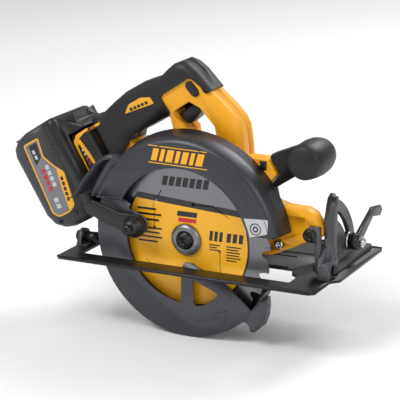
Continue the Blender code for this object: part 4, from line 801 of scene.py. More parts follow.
# --- Repeats made with Geometry Nodes -------------------------------------------------------------
class Repeats:
    """Geometry Nodes trees for what repeats, each built once, and their use."""

    _built: dict[str, bpy.types.NodeTree] = {}

    @classmethod
    def tree(cls, name: str) -> bpy.types.NodeTree:
        """Returns the tree of that name, building it the first time."""
        if name not in cls._built:
            cls._built[name] = getattr(cls, f"_make_{name}")()
        return cls._built[name]

    @classmethod
    def grow(cls, name: str, tree_name: str, base: bpy.types.Object | None = None,
             **sizes: Any) -> bpy.types.Object:
        """Runs a tree and keeps its result as a plain mesh.

        Args:
            name: the new object's name.
            tree_name: which tree.
            base: the object whose geometry feeds the tree, if it takes one.
            **sizes: the tree's named inputs, with _ for each space.

        Returns:
            The object, at the origin.
        """
        holder = base or new_object("holder", bpy.data.meshes.new("holder"))
        tree = cls.tree(tree_name)
        modifier = holder.modifiers.new(tree_name, "NODES")
        modifier.node_group = tree
        sockets = {s.name: s.identifier for s in tree.interface.items_tree if s.in_out == "INPUT"}
        for key, value in sizes.items():
            modifier[sockets[key.replace("_", " ")]] = value
        graph = bpy.context.evaluated_depsgraph_get()
        mesh = bpy.data.meshes.new_from_object(holder.evaluated_get(graph))
        bpy.data.objects.remove(holder)
        tidy(mesh)
        return new_object(name, mesh)

    @staticmethod
    def _finish(kit: NodeKit, geometry: Any, look: Any) -> None:
        """Ends a tree in Realize Instances and Set Material."""
        real = kit.add("GeometryNodeRealizeInstances", {"Geometry": geometry})
        dressed = kit.add("GeometryNodeSetMaterial", {"Geometry": real.outputs[0], "Material": look})
        kit.add("NodeGroupOutput", {0: dressed.outputs[0]})

    @staticmethod
    def _solid(kit: NodeKit, face: Any, depth: Any) -> Any:
        """Gives a flat face in the XY plane a depth along +Z, closed at the back."""
        top = kit.add("GeometryNodeExtrudeMesh", {"Mesh": face, "Offset Scale": depth, "Individual": False})
        back = kit.add("GeometryNodeFlipFaces", {"Mesh": face})
        both = kit.add("GeometryNodeJoinGeometry")
        kit.link(back.outputs[0], both.inputs[0])
        kit.link(top.outputs["Mesh"], both.inputs[0])
        merge = kit.add("GeometryNodeMergeByDistance", {"Geometry": both.outputs[0], "Distance": 1e-6})
        return merge.outputs[0]

    @classmethod
    def _rounded_bar(cls, kit: NodeKit, source: Any, corner: Any) -> Any:
        """Makes one rounded bar in the XY plane with its depth along +Z."""
        shape = kit.add(
            "GeometryNodeCurvePrimitiveQuadrilateral",
            {"Width": source["Length"], "Height": source["Width"]},
        )
        soft = kit.add(
            "GeometryNodeFilletCurve",
            {"Curve": shape.outputs[0], "Radius": corner, "Count": 3, "Limit Radius": True},
            mode="POLY",
        )
        face = kit.add("GeometryNodeFillCurve", {"Curve": soft.outputs[0]}, mode="NGONS")
        return cls._solid(kit, face.outputs[0], source["Depth"])

    @staticmethod
    def _upright(kit: NodeKit, geometry: Any) -> Any:
        """Turns a geometry from the XY plane into the XZ plane, with +Z towards -Y."""
        return kit.add(
            "GeometryNodeTransform", {"Geometry": geometry, "Rotation": (math.pi / 2, 0.0, 0.0)}
        ).outputs[0]

    @classmethod
    def _make_bars(cls) -> bpy.types.NodeTree:
        """A row of rounded bars in the XZ plane, standing out along -Y."""
        tree = group_tree(
            "rounded_bars",
            "GeometryNodeTree",
            [
                ("Geometry", MESH, None),
                ("Count", WHOLE, 5),
                ("Step", VECTOR, (0.005, 0.0, 0.0)),
                ("Length", FLOAT, 0.01),
                ("Width", FLOAT, 0.002),
                ("Depth", FLOAT, 0.001),
                ("Corner", FLOAT, 0.0008),
                ("Look", LOOK, None),
            ],
            [("Geometry", MESH)],
        )
        kit = NodeKit(tree)
        source = kit.add("NodeGroupInput").outputs
        bar = cls._upright(kit, cls._rounded_bar(kit, source, source["Corner"]))
        row = kit.add("GeometryNodeMeshLine", {"Count": source["Count"], "Offset": source["Step"]})
        placed = kit.add("GeometryNodeInstanceOnPoints", {"Points": row.outputs[0], "Instance": bar})
        cls._finish(kit, placed.outputs[0], source["Look"])
        return tree

    @classmethod
    def _make_fan(cls) -> bpy.types.NodeTree:
        """Rounded bars set along an arc in the XZ plane, each pointing at its centre."""
        tree = group_tree(
            "fan_of_bars",
            "GeometryNodeTree",
            [
                ("Geometry", MESH, None),
                ("Count", WHOLE, 12),
                ("Radius", FLOAT, 0.03),
                ("Start", FLOAT, 0.0),
                ("Sweep", FLOAT, math.pi),
                ("Length", FLOAT, 0.004),
                ("Width", FLOAT, 0.001),
                ("Depth", FLOAT, 0.001),
                ("Look", LOOK, None),
            ],
            [("Geometry", MESH)],
        )
        kit = NodeKit(tree)
        source = kit.add("NodeGroupInput").outputs
        bar = cls._rounded_bar(kit, source, kit.math("MULTIPLY", source["Width"], 0.45))
        moved = kit.add("ShaderNodeCombineXYZ", {"X": source["Radius"]})
        out = kit.add("GeometryNodeTransform", {"Geometry": bar, "Translation": moved.outputs[0]})
        line = kit.add("GeometryNodeMeshLine", {"Count": source["Count"], "Offset": (0.0, 0.0, 0.0)})
        index = kit.add("GeometryNodeInputIndex")
        gaps = kit.math("MAXIMUM", kit.math("SUBTRACT", source["Count"], 1.0), 1.0)
        step = kit.math("DIVIDE", source["Sweep"], gaps)
        angle = kit.math("ADD", source["Start"], kit.math("MULTIPLY", index.outputs[0], step))
        spin = kit.add("ShaderNodeCombineXYZ", {"Z": angle})
        placed = kit.add(
            "GeometryNodeInstanceOnPoints",
            {"Points": line.outputs[0], "Instance": out.outputs[0], "Rotation": spin.outputs[0]},
        )
        cls._finish(kit, cls._upright(kit, placed.outputs[0]), source["Look"])
        return tree

    @classmethod
    def _make_screws(cls) -> bpy.types.NodeTree:
        """A tapered screw head with a recess on each point, facing along its facing attribute."""
        tree = group_tree(
            "screw_heads",
            "GeometryNodeTree",
            [
                ("Geometry", MESH, None),
                ("Head Radius", FLOAT, 0.003),
                ("Head Height", FLOAT, 0.0015),
                ("Recess Radius", FLOAT, 0.0013),
                ("Recess Sides", WHOLE, 6),
                ("Look", LOOK, None),
            ],
            [("Geometry", MESH)],
        )
        kit = NodeKit(tree)
        source = kit.add("NodeGroupInput").outputs
        head = kit.add(
            "GeometryNodeMeshCone",
            {
                "Vertices": 24,
                "Radius Top": kit.math("MULTIPLY", source["Head Radius"], 0.78),
                "Radius Bottom": source["Head Radius"],
                "Depth": source["Head Height"],
            },
        )
        recess = kit.add(
            "GeometryNodeMeshCylinder",
            {
                "Vertices": source["Recess Sides"],
                "Radius": source["Recess Radius"],
                "Depth": kit.math("MULTIPLY", source["Head Height"], 1.2),
            },
        )
        raised = kit.add(
            "ShaderNodeCombineXYZ", {"Z": kit.math("MULTIPLY", source["Head Height"], 0.5)}
        )
        tool = kit.add(
            "GeometryNodeTransform", {"Geometry": recess.outputs["Mesh"], "Translation": raised.outputs[0]}
        )
        bored = kit.add("GeometryNodeMeshBoolean", {"Mesh 1": head.outputs["Mesh"]}, operation="DIFFERENCE")
        kit.link(tool.outputs[0], bored.inputs["Mesh 2"])
        facing = kit.add("GeometryNodeInputNamedAttribute", {"Name": "facing"}, data_type="FLOAT_VECTOR")
        aim = kit.add(
            "FunctionNodeAlignRotationToVector", {"Vector": facing.outputs["Attribute"]}, axis="Z"
        )
        placed = kit.add(
            "GeometryNodeInstanceOnPoints",
            {"Points": source["Geometry"], "Instance": bored.outputs["Mesh"], "Rotation": aim.outputs[0]},
        )
        cls._finish(kit, placed.outputs[0], source["Look"])
        return tree

    @classmethod
    def _make_blade(cls) -> bpy.types.NodeTree:
        """A toothed disc: a circle whose radius follows the tooth form, filled and given a thickness."""
        tree = group_tree(
            "toothed_disc",
            "GeometryNodeTree",
            [
                ("Geometry", MESH, None),
                ("Teeth", WHOLE, 24),
                ("Radius", FLOAT, 0.092),
                ("Gullet", FLOAT, 0.0095),
                ("Bore Radius", FLOAT, 0.0083),
                ("Thickness", FLOAT, 0.0018),
                ("Look", LOOK, None),
            ],
            [("Geometry", MESH)],
        )
        kit = NodeKit(tree)
        source = kit.add("NodeGroupInput").outputs
        points_per_tooth = 20.0
        rim = kit.add(
            "GeometryNodeCurvePrimitiveCircle",
            {"Resolution": kit.math("MULTIPLY", source["Teeth"], points_per_tooth), "Radius": 1.0},
        )
        index = kit.add("GeometryNodeInputIndex").outputs[0]
        share = kit.math("DIVIDE", kit.math("FLOORED_MODULO", index, points_per_tooth), points_per_tooth)
        form = kit.add("ShaderNodeFloatCurve", {"Value": share})
        cls._tooth_form(form.mapping.curves[0])
        form.mapping.update()
        drop = kit.math("MULTIPLY", form.outputs[0], source["Gullet"])
        reach = kit.math("SUBTRACT", source["Radius"], drop)
        place = kit.add("GeometryNodeInputPosition").outputs[0]
        scaled = kit.add("ShaderNodeVectorMath", {0: place, "Scale": reach}, operation="SCALE")
        shaped = kit.add(
            "GeometryNodeSetPosition", {"Geometry": rim.outputs[0], "Position": scaled.outputs[0]}
        )
        bore = kit.add(
            "GeometryNodeCurvePrimitiveCircle", {"Resolution": 32, "Radius": source["Bore Radius"]}
        )
        outline = kit.add("GeometryNodeJoinGeometry")
        kit.link(bore.outputs[0], outline.inputs[0])
        kit.link(source["Geometry"], outline.inputs[0])
        kit.link(shaped.outputs[0], outline.inputs[0])
        face = kit.add("GeometryNodeFillCurve", {"Curve": outline.outputs[0]}, mode="TRIANGLES")
        solid = cls._solid(kit, face.outputs[0], source["Thickness"])
        cls._finish(kit, cls._upright(kit, solid), source["Look"])
        return tree

    @staticmethod
    def _tooth_form(curve: bpy.types.CurveMap) -> None:
        """Sets how far the rim drops along one tooth: tip, long back, round gullet, steep front."""
        curve.points[0].location = (0.0, 0.0)
        for place, drop in ((0.42, 0.22), (0.58, 0.42), (0.68, 0.92), (0.80, 1.0), (0.90, 0.72)):
            curve.points.new(place, drop)
        curve.points[-1].location = (1.0, 0.05)


# --- Pieces ---------------------------------------------------------------------------------------
def publish(made: bpy.types.Object, body: Body, finish: Finish, replaces: Sequence[str] = (),
            angle: float = 35.0) -> bpy.types.Object:
    """Dresses a finished piece and hangs it from its body.

    Args:
        made: the piece.
        body: the body it moves with.
        finish: its finish.
        replaces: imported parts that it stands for.
        angle: edges that turn more than this stay sharp.

    Returns:
        The piece.
    """
    made.data.materials.clear()
    made.data.materials.append(finish.material())
    soften(made, angle)
    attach(made, body.value)
    if replaces:
        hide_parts(*replaces)
    log.info("%s: %d faces on %s, %s", made.name, len(made.data.polygons), body.value, finish.name)
    return made


def joined(name: str, pieces: Sequence[bpy.types.Object]) -> bpy.types.Object:
    """Puts several meshes into one object."""
    work = bmesh.new()
    for piece in pieces:
        work.from_mesh(piece.data)
        bpy.data.objects.remove(piece)
    mesh = bpy.data.meshes.new(name)
    work.to_mesh(mesh)
    work.free()
    return new_object(name, mesh)


def screws(name: str, places: Sequence[Point3], facing: Point3, radius: float, height: float,
           drive: Drive = Drive.STAR) -> bpy.types.Object:
    """Sets screw heads that all face one way.

    Args:
        name: the object's name.
        places: where each head's middle lies, in millimetres.
        facing: the way out of the surface.
        radius: of a head.
        height: of a head.
        drive: the recess.

    Returns:
        The heads as one object.
    """
    base = bpy.data.meshes.new(name)
    base.from_pydata([[c * MM for c in place] for place in places], [], [])
    aim = base.attributes.new("facing", "FLOAT_VECTOR", "POINT")
    for item in aim.data:
        item.vector = facing
    return Repeats.grow(
        name,
        "screws",
        new_object("holder", base),
        Head_Radius=radius * MM,
        Head_Height=height * MM,
        Recess_Radius=radius * 0.46 * MM,
        Recess_Sides=drive.value,
    )


def fan(name: str, centre: Point3, count: int, radius: float, start: float, sweep: float, length: float,
        width: float, depth: float) -> bpy.types.Object:
    """Makes rounded bars along an arc that face -Y.

    Args:
        name: the object's name.
        centre: of the arc, in millimetres.
        count: how many.
        radius: of the bars' middles.
        start: the first bar's angle, in degrees.
        sweep: from the first to the last.
        length: of a bar, along the radius.
        width: of a bar.
        depth: how far they stand towards -Y.

    Returns:
        The bars as one object.
    """
    made = Repeats.grow(
        name,
        "fan",
        Count=count,
        Radius=radius * MM,
        Start=math.radians(start),
        Sweep=math.radians(sweep),
        Length=length * MM,
        Width=width * MM,
        Depth=depth * MM,
    )
    return turn_to(made, Matrix.Translation(Vector(centre) * MM))


@dataclass
class PackedParts:
    """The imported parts, merged, smoothed and given their finishes."""

    finishes: dict[str, Finish] = field(default_factory=lambda: {
        "upper_guard": GUARD_COAT, "lower_guard": LIT_LOWER_GUARD_COAT, "guard_lever": BLACK, "guard_knob": BLACK,
        "guard_knob_screw": BLACK_STEEL, "guard_return_spring": SPRING, "outer_flange": FLANGE,
        "inner_flange": FLANGE, "blade_bolt": BLACK_STEEL, "spindle": GROUND, "drive_gear": ZINC,
        "motor_shaft": GROUND, "rotor_core": PLATE, "stator": COPPER, "cooling_fan": BLACK,
        "spindle_front_bearing": GROUND, "spindle_rear_bearing": GROUND, "motor_front_bearing": GROUND,
        "motor_rear_bearing": GROUND, "gear_case": BARE_CAST, "bearing_plate": BARE_CAST,
        "motor_housing": YELLOW, "motor_end_cap": BLACK, "front_nose": YELLOW, "nose_screw": ZINC,
        "handle_shell_right": YELLOW, "handle_shell_left": YELLOW, "handle_screw_front": BLACK_STEEL,
        "handle_screw_rear": BLACK_STEEL, "grip_cover_right": RUBBER, "grip_cover_left": RUBBER,
        "trigger": BLACK, "trigger_spring": SPRING, "switch_body": GREY, "lock_off_button": BLACK,
        "control_module": BOARD, "auxiliary_handle": RUBBER, "spindle_lock_button": BLACK,
        "front_bracket": CAST, "depth_pivot_pin": BLACK_STEEL, "bevel_quadrant": CAST,
        "front_bevel_pin": BLACK_STEEL, "bevel_bolt": ZINC, "bevel_washer": ZINC,
        "bevel_lever": BLACK_STEEL, "bevel_nut": ZINC, "rear_bracket": CAST,
        "rear_bevel_pin": BLACK_STEEL, "rear_depth_arm": BLACK_STEEL,
        "depth_lock_bolt": BLACK_STEEL, "depth_lever": BLACK, "shoe": SHOE_COAT, "battery_foot": BLACK,
        "terminal_block": GREY, "battery_front_case": BLACK, "battery_rear_case": CHARCOAL,
        "battery_cells": CELL, "battery_latch_button": BLACK, "latch_spring": SPRING,
    })

    def dress(self) -> None:
        """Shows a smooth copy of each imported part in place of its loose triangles."""
        for name, finish in self.finishes.items():
            node = frame["nodes"][name]
            mesh = node.data.copy()
            tidy(mesh, 2e-6)
            body = Body(node["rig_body"])
            publish(new_object(f"{name}_skin", mesh), body, finish, [name], 38.0)


@dataclass
class BladeSet:
    """The blade with its carbide tips and print. Outlines are about the arbor."""

    radius: float = 92.0
    teeth: int = 24
    thickness: float = 1.6
    face_y: float = BLADE_Y - 0.9
    slot_half: float = 0.42
    slot_path: tuple[Point2, ...] = (
        (-26.9, 47.5), (-30.6, 40.9), (-36.9, 30.0), (-36.0, 23.9), (-36.3, 8.3),
    )
    ink: float = 0.10

    def relief_slot(self, turn: float) -> list[Point2]:
        """Returns one relief slot's outline, with a round end at its inner end.

        Args:
            turn: quarter turns about the arbor, in degrees.
        """
        path = [Vector(p) for p in self.slot_path]
        left, right = [], []
        for i, point in enumerate(path):
            way = (path[min(i + 1, len(path) - 1)] - path[max(i - 1, 0)]).normalized()
            side = Vector((-way.y, way.x)) * self.slot_half
            left.append(point + side)
            right.append(point - side)
        end = path[-1]
        heading = math.atan2((path[-1] - path[-2]).y, (path[-1] - path[-2]).x)
        ring = arc(end.x, end.y, 1.5, math.degrees(heading) + 160.0, math.degrees(heading) - 160.0, 12)
        outline = [*left[:-1], *[Vector(p) for p in ring], *reversed(right[:-1])]
        c, s = math.cos(math.radians(turn)), math.sin(math.radians(turn))
        return [(p.x * c - p.y * s, p.x * s + p.y * c) for p in outline]

    def disc(self) -> bpy.types.Object:
        """Makes the toothed disc with its relief slots."""
        curve = bpy.data.curves.new("relief_slots", "CURVE")
        curve.dimensions = "3D"
        for turn in (0.0, 90.0, 180.0, 270.0):
            outline = self.relief_slot(turn)
            spline = curve.splines.new("POLY")
            spline.points.add(len(outline) - 1)
            spline.use_cyclic_u = True
            for point, (x, z) in zip(spline.points, outline):
                point.co = (x * MM, z * MM, 0.0, 1.0)
        holder = bpy.data.objects.new("relief_slots", curve)
        bpy.context.scene.collection.objects.link(holder)
        made = Repeats.grow("blade_disc", "blade", holder, Teeth=self.teeth, Radius=self.radius * MM,
                            Thickness=self.thickness * MM)
        far_face = BLADE_Y + self.thickness / 2
        return turn_to(made, Matrix.Translation(Vector((0.0, far_face, ARBOR[1])) * MM))

    def tips(self) -> bpy.types.Object:
        """Makes the carbide tips, one in front of each tooth."""
        return fan("carbide_tips", (0.0, BLADE_Y + 1.2, ARBOR[1]), self.teeth, self.radius - 3.4,
                   1.2, 360.0 * (self.teeth - 1) / self.teeth, 6.4, 2.0, 2.4)

    def marks(self, name: str, boxes: Sequence[tuple[float, float, float, float]], finish: Finish,
              slant: float = 0.0) -> None:
        """Prints plain blocks on the near face.

        Args:
            name: the print's name.
            boxes: (left, low, right, high) of each block, about the arbor.
            finish: the ink.
            slant: how far a block's top leans right, as a share of its height.
        """
        low, high = self.face_y - self.ink, self.face_y + 0.05
        made = []
        for i, (left, bottom, right, top) in enumerate(boxes):
            lean = slant * (top - bottom)
            shape = [(left, bottom), (right, bottom), (right + lean, top), (left + lean, top)]
            placed = [(x + ARBOR[0], z + ARBOR[1]) for x, z in shape]
            made.append(prism(f"{name}_{i}", placed, low, high))
        publish(joined(name, made), Body.BLADE, finish)

    def lines(self, left: float, right: float, top: float, pitch: float, height: float,
              shares: Sequence[float]) -> list[tuple[float, float, float, float]]:
        """Returns blocks that stand for lines of small print, each a share of the full width."""
        width = right - left
        return [
            (left, top - i * pitch - height, left + width * share, top - i * pitch)
            for i, share in enumerate(shares)
        ]

    def build(self) -> None:
        """Makes the blade and its print."""
        publish(self.disc(), Body.BLADE, BLADE, ["blade"])
        publish(self.tips(), Body.BLADE, CARBIDE)
        band = [(-26.0 + 7.6 * i, 53.0, -20.4 + 7.6 * i, 62.6) for i in range(7)]
        self.marks("band_print", band, INK_BLACK, 0.25)
        small = self.lines(-55.0, -28.0, 28.0, 5.6, 2.1, (0.8, 1.0, 0.9))
        small += self.lines(-55.0, -28.0, 8.0, 4.6, 1.7, (1.0, 0.9, 1.0, 0.8))
        self.marks("side_print", small, INK_BLACK)
        self.marks("title_print", [(-10.0, 23.2, 12.0, 28.4)], INK_BLACK, 0.2)
        self.marks("title_underline", [(-9.0, 17.4, 11.0, 21.6)], INK_RED, 0.2)
        large = [(25.0 + 5.4 * i, 2.0, 28.4 + 5.4 * i, 12.0) for i in range(3)]
        large += [(44.0 + 6.6 * i, 2.4, 48.4 + 6.6 * i, 11.6) for i in range(3)]
        self.marks("size_print", large, INK_BLACK, 0.15)
        notes = self.lines(44.0, 60.0, -1.5, 2.8, 1.2, (1.0, 0.8, 0.9))
        notes += self.lines(43.5, 59.0, -10.0, 2.8, 1.1, (0.9, 1.0, 0.7))
        notes += self.lines(25.0, 37.0, -1.5, 2.6, 1.1, (1.0, 0.7, 0.9))
        self.marks("note_print", notes, INK_BLACK)


@dataclass
class Guards:
    """Marks and mouldings of the two guards."""

    face_y: float = -58.2
    lower_y: float = -54.2
    window: float = 75.0
    raised: float = 0.25

    def window_lip(self) -> bpy.types.Object:
        """Makes the raised lip round the window."""
        outer = arc(*ARBOR, self.window + 2.2, 153.0, 11.0, 50)
        inner = arc(*ARBOR, self.window, 11.0, 153.0, 50)
        front = self.face_y - self.raised
        return prism("window_lip", outer + inner, front, self.face_y + 0.6, round_by=0.1)

    def rim_bead(self) -> bpy.types.Object:
        """Makes the bead where the face turns into the rim."""
        radius = 0.55
        y = self.face_y + radius - self.raised
        path = [(x, y, z) for x, z in arc(*ARBOR, 97.5, 146.0, 10.0, 60)]
        return thread("rim_bead", path, radius)

    def badge(self) -> None:
        """Prints a plain striped badge between two thin lines."""
        low, high = self.face_y - 0.14, self.face_y + 0.05
        turn = math.radians(-1.5)
        pieces = []
        shapes = [rectangle(-32.0, 104.4, 32.6, 105.3), rectangle(-32.0, 121.4, 32.6, 122.3)]
        widths = (6.4, 4.4, 7.4, 4.4, 6.4, 4.4, 7.4)
        low_edge, top_edge, lean = 107.2, 119.4, 3.4
        left = -29.5
        for width in widths:
            right = left + width
            bottom_edge = [(left, low_edge), (right, low_edge)]
            shapes.append([*bottom_edge, (right + lean, top_edge), (left + lean, top_edge)])
            left += width + 2.6
        for i, shape in enumerate(shapes):
            turned_shape = [
                (x * math.cos(turn) - (z - 113.0) * math.sin(turn),
                 x * math.sin(turn) + (z - 113.0) * math.cos(turn) + 113.0)
                for x, z in shape
            ]
            pieces.append(prism(f"badge_{i}", turned_shape, low, high))
        publish(joined("guard_badge", pieces), Body.SAW, INK_YELLOW)

    def brake_mark(self) -> None:
        """Prints the plain brake symbol: a pale panel with a ringed hub."""
        low, high = self.face_y - 0.12, self.face_y + 0.05
        hub = (82.4, 50.6)
        corners = [(69.4, 60.0), (96.0, 61.4), (94.8, 46.9), (74.0, 41.4), (70.4, 50.0)]
        shapes = (
            ("brake_panel", rounded(corners, 2.0), [arc(*hub, 6.0, 0.0, 345.0, 24)]),
            ("brake_ring", arc(*hub, 4.9, 0.0, 345.0, 24), [arc(*hub, 3.1, 0.0, 345.0, 24)]),
            ("brake_hub", arc(*hub, 1.5, 0.0, 330.0, 12), []),
        )
        for name, outline, holes in shapes:
            publish(prism(name, outline, low, high, holes), Body.SAW, INK_SILVER)

    def arrow(self) -> bpy.types.Object:
        """Makes the raised turning arrow on the lower guard."""
        y = self.lower_y - 0.1
        shaft = [(x, y, z) for x, z in arc(0.0, 27.0, 83.5, 279.0, 300.0, 8)]
        head = [(34.0, y, -43.0), (48.2, y, -38.0), (43.5, y, -52.5)]
        return joined("guard_arrow", [thread("arrow_shaft", shaft, 0.5), thread("arrow_head", head, 0.5)])

    def build(self) -> None:
        """Makes every mark and moulding."""
        publish(self.window_lip(), Body.SAW, GUARD_COAT)
        publish(self.rim_bead(), Body.SAW, GUARD_COAT)
        self.badge()
        self.brake_mark()
        y = self.face_y - 0.1
        ridge = [(-95.0, y, 63.4), (-80.0, y, 64.6), (-67.5, y, 65.2)]
        publish(thread("guard_ridge", ridge, 0.6), Body.SAW, GUARD_COAT)
        publish(thread("guard_nib", [(73.0, y, 81.5), (77.5, y, 73.0)], 0.5), Body.SAW, GUARD_COAT)
        publish(self.arrow(), Body.GUARD, LIT_LOWER_GUARD_COAT)


@dataclass
class BatteryTrim:
    """Label, painted vent shade, grips and screws of the battery."""

    side_y: float = -90.0
    label: tuple[Point2, ...] = (
        (-195.0, 101.2), (-176.0, 111.8), (-170.6, 92.6), (-156.0, 83.0), (-146.4, 79.2),
        (-135.4, 44.6), (-141.8, 36.2), (-155.0, 29.2), (-163.0, 31.6),
    )

    def patch(self, name: str, outline: Outline, thickness: float, finish: Finish,
              holes: Sequence[Outline] = ()) -> None:
        """Lays one flat colour of the label on the battery's side."""
        made = wrapped(name, outline, self.surface, thickness, self.side_y, holes, 4.0)
        publish(made, Body.BATTERY, finish)

    def build(self) -> None:
        """Makes every piece of trim."""
        self.surface = merged("battery_rear_case", "battery_front_case")
        border = rounded(self.label, 3.0)
        field_shape = rounded(shrink(self.label, 1.5), 2.4)
        self.patch("label_border", border, 0.22, INK_YELLOW, [field_shape])
        self.patch("label_field", field_shape, 0.14, INK_GREY)
        dark = rounded([(-188.4, 101.2), (-178.4, 106.6), (-173.4, 91.4), (-180.0, 81.4)], 1.0)
        self.patch("label_panel", dark, 0.24, INK_BLACK)
        corners = [(-155.4, 81.0), (-146.8, 77.2), (-136.8, 45.0), (-142.0, 38.6), (-149.6, 59.6)]
        amber = rounded(corners, 1.5)
        self.patch("label_patch", amber, 0.26, INK_YELLOW)
        self.label_bars()
        self.painted_slot_shade()
        self.grips()

    def label_bars(self) -> None:
        """Lays plain bars where the label has its print."""
        rows = (
            ("panel_bar", (-183.2, 97.6), (-177.6, 87.2), 3.2, INK_SILVER),
            ("silver_bar", (-167.4, 83.6), (-157.4, 60.4), 4.6, INK_SILVER),
            ("red_bar", (-172.4, 78.6), (-162.4, 55.0), 4.6, INK_RED),
            ("lower_bar", (-158.6, 49.6), (-153.4, 37.4), 5.6, INK_SILVER),
            ("patch_bar", (-149.8, 73.4), (-141.6, 47.0), 3.4, INK_BLACK),
        )
        for name, start, end, width, finish in rows:
            count = max(2, round((Vector(end) - Vector(start)).length / 6.0))
            for i, shape in enumerate(dashes(start, end, width, count, 0.74)):
                self.patch(f"{name}_{i}", shape, 0.34, finish)

    def painted_slot_shade(self) -> None:
        """Lays a row of slanted black patches, painted shade that stands for the shadowed vent openings."""
        first, last = Vector((-162.4, 120.6)), Vector((-154.6, 95.0))
        half_length, half_width = 4.6, 1.25
        for i in range(7):
            middle = first + (last - first) * i / 6
            way = Vector((math.cos(math.radians(38.0)), math.sin(math.radians(38.0))))
            side = Vector((-way.y, way.x))
            ends = ((-1, -1), (1, -1), (1, 1), (-1, 1))
            shape = [tuple(middle + way * half_length * u + side * half_width * v) for u, v in ends]
            # Each patch is painted shade: flat black where the vent opening would lie in shadow.
            self.patch(f"vent_shade_{i}", rounded(shape, 1.0, 3), 0.16, INK_BLACK)

    def grips(self) -> None:
        """Adds a row of ribs at the battery's rear top edge, and its case screws."""
        for i in range(4):
            x, z = pack_place(193.2 - 3.6 * i, -134.2)
            rib = [(x - 0.4, -22.0 + 1.5 * i, z), (x - 0.9, 0.0, z + 0.1), (x - 0.4, 22.0 - 1.5 * i, z)]
            publish(thread(f"grip_rib_{i}", rib, 1.0, 8), Body.BATTERY, CHARCOAL)
        for name, (x, z) in (("case_screw_a", (-134.6, 37.5)), ("case_screw_b", (-153.6, 24.4))):
            hit, _, _, _ = self.surface.ray_cast(Vector((x, -90.0, z)) * MM, Vector((0.0, 1.0, 0.0)))
            place = (x, hit.y / MM + 0.1 if hit else -37.0, z)
            head = screws(name, [place], (0.0, -1.0, 0.0), 2.4, 1.2)
            publish(head, Body.BATTERY, BLACK_STEEL)


@dataclass
class FootTrim:
    """Yellow piping and the dark label on the housing that holds the battery."""

    def build(self) -> None:
        """Makes the piping and the label."""
        surface = merged("battery_foot", "handle_shell_right", "grip_cover_right")
        pipe = [
            (-141.0, 106.5), (-137.6, 114.6), (-126.6, 121.8), (-111.8, 129.4), (-112.6, 126.4),
            (-127.4, 118.4), (-134.2, 111.6), (-131.0, 108.4), (-121.4, 97.0), (-114.6, 87.2),
            (-117.4, 85.4), (-124.4, 94.4), (-134.6, 106.4), (-135.8, 103.0), (-124.2, 79.4),
            (-126.6, 77.2), (-138.0, 100.0),
        ]
        made = wrapped("foot_piping", rounded(pipe, 1.2, 3), surface, 0.5, step=2.0)
        publish(made, Body.SAW, INK_YELLOW)
        label = rounded([(-133.6, 103.4), (-130.0, 104.8), (-118.6, 86.0), (-122.8, 81.4)], 1.5)
        publish(wrapped("foot_label", label, surface, 0.25), Body.SAW, INK_BLACK)
        for i in range(4):
            x, z = -130.4 + 2.5 * i, 101.4 - 4.4 * i
            shape = [(x - 1.2, z - 2.2), (x + 0.4, z - 3.0), (x + 2.0, z + 0.4), (x + 0.4, z + 1.2)]
            finish = INK_SILVER if i < 2 else INK_RED
            publish(wrapped(f"foot_bar_{i}", shape, surface, 0.35), Body.SAW, finish)


@dataclass
class HandleTrim:
    """The patch on the main handle's grip."""

    def build(self) -> None:
        """Makes the patch on the grip and its row of dashes."""
        surface = merged("grip_cover_right", "handle_shell_right")
        corners = [(-81.6, 140.4), (-77.0, 150.2), (-62.8, 158.4), (-51.8, 159.6), (-47.4, 153.6)]
        patch = rounded(corners, 1.6)
        publish(wrapped("grip_patch", patch, surface, 0.45, step=2.0), Body.SAW, INK_YELLOW)
        for i, shape in enumerate(dashes((-75.6, 145.0), (-53.4, 154.8), 3.0, 5, 0.72)):
            publish(wrapped(f"grip_mark_{i}", shape, surface, 0.6), Body.SAW, INK_BLACK)


@dataclass
class ShoeTrim:
    """Scale and stiffening beads of the shoe."""

    top: float = 2.6

    def build(self) -> None:
        """Makes every fitting that stands on the shoe."""
        for name, y, x0, x1 in (("bead_far", 60.0, -118.0, 108.0), ("bead_mid", 12.0, -112.0, 92.0)):
            path = [(x0, y, self.top - 0.2), (x1, y, self.top - 0.2)]
            publish(thread(name, path, 1.1, 8), Body.SHOE, SHOE_COAT)
        scale = Repeats.grow("shoe_scale", "bars", Count=21, Step=(0.005, 0.0, 0.0), Length=0.0004,
                             Width=0.004, Depth=0.0002, Corner=0.0001)
        stand = Matrix.Translation(Vector((-50.0, 68.6, self.top - 0.05)) * MM)
        lay = Matrix.Rotation(math.radians(-90.0), 4, "X")
        publish(turn_to(scale, stand @ lay), Body.SHOE, INK_SILVER)


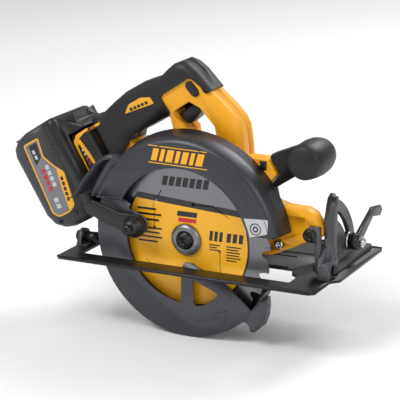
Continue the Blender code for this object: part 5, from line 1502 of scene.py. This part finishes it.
@dataclass
class Studio:
    """Pale floor, soft lights and the camera."""

    azimuth: float = 29.34
    elevation: float = 16.34
    roll: float = -2.08
    distance: float = 1531.85
    target: Point3 = (16.03, -45.0, 68.74)
    lens: float = 142.27
    sensor: float = 36.0
    floor_reach: float = 3.0
    floor_gap: float = 0.001
    room_strength: float = 0.46
    lamps: tuple[tuple[str, Point3, float, float], ...] = (
        ("key", (-0.9, -1.4, 1.9), 1.1, 36.0),
        ("fill", (1.8, -0.9, 1.1), 1.2, 13.0),
        ("rim", (0.4, 1.6, 1.7), 1.0, 30.0),
    )

    def camera(self) -> None:
        """Sets the camera on the line of sight."""
        az, el, roll = (math.radians(a) for a in (self.azimuth, self.elevation, self.roll))
        way = Vector((-math.sin(az) * math.cos(el), math.cos(az) * math.cos(el), -math.sin(el)))
        right = Vector((math.cos(az), math.sin(az), 0.0))
        up = right.cross(way)
        tilted_right = right * math.cos(roll) + up * math.sin(roll)
        tilted_up = up * math.cos(roll) - right * math.sin(roll)
        data = bpy.data.cameras.new("camera")
        data.lens = self.lens
        data.sensor_width = self.sensor
        data.clip_start = 0.05
        camera = bpy.data.objects.new("camera", data)
        bpy.context.scene.collection.objects.link(camera)
        turn = Matrix((tilted_right, tilted_up, -way)).transposed().to_4x4()
        place = (Vector(self.target) - way * self.distance) * MM
        camera.matrix_world = Matrix.Translation(place) @ turn
        bpy.context.scene.camera = camera

    def lamp(self, name: str, place: Point3, size: float, power: float) -> None:
        """Adds a soft square light aimed at the saw."""
        data = bpy.data.lights.new(name, "AREA")
        data.shape = "SQUARE"
        data.size = size
        data.energy = power
        lamp = bpy.data.objects.new(name, data)
        bpy.context.scene.collection.objects.link(lamp)
        lamp.location = place
        aim = Vector((0.0, 0.0, 0.06)) - Vector(place)
        lamp.rotation_euler = aim.to_track_quat("-Z", "Y").to_euler()

    def floor(self) -> None:
        """Adds the pale floor, a little below the lowest point of the saw."""
        low, _ = cad_box
        r = self.floor_reach
        made = mesh_from("floor", [(-r, -r, 0), (r, -r, 0), (r, r, 0), (-r, r, 0)], [(0, 1, 2, 3)])
        made.data.transform(Matrix.Translation((0.0, 0.0, low.z - self.floor_gap)))
        look = bpy.data.materials.new("floor_paper")
        look.use_nodes = True
        shader = look.node_tree.nodes["Principled BSDF"]
        shader.inputs["Base Color"].default_value = (0.88, 0.88, 0.88, 1.0)
        shader.inputs["Roughness"].default_value = 0.9
        made.data.materials.append(look)

    def build(self) -> None:
        """Sets the whole studio."""
        self.camera()
        self.floor()
        world = bpy.data.worlds.new("soft_room")
        world.use_nodes = True
        world.node_tree.nodes["Background"].inputs["Color"].default_value = (1.0, 1.0, 1.0, 1.0)
        world.node_tree.nodes["Background"].inputs["Strength"].default_value = self.room_strength
        bpy.context.scene.world = world
        bpy.context.scene.view_settings.view_transform = "Standard"
        for name, place, size, power in self.lamps:
            self.lamp(name, place, size, power)


def main() -> None:
    """Builds the saw's looks in order."""
    logging.basicConfig(level=logging.INFO, format="%(message)s")
    Studio().build()
    PackedParts().dress()
    for part in (BladeSet(), Guards(), BatteryTrim(), FootTrim(), HandleTrim(), ShoeTrim()):
        part.build()
        log.info("%s done", type(part).__name__)


if __name__ == "__main__":
    main()
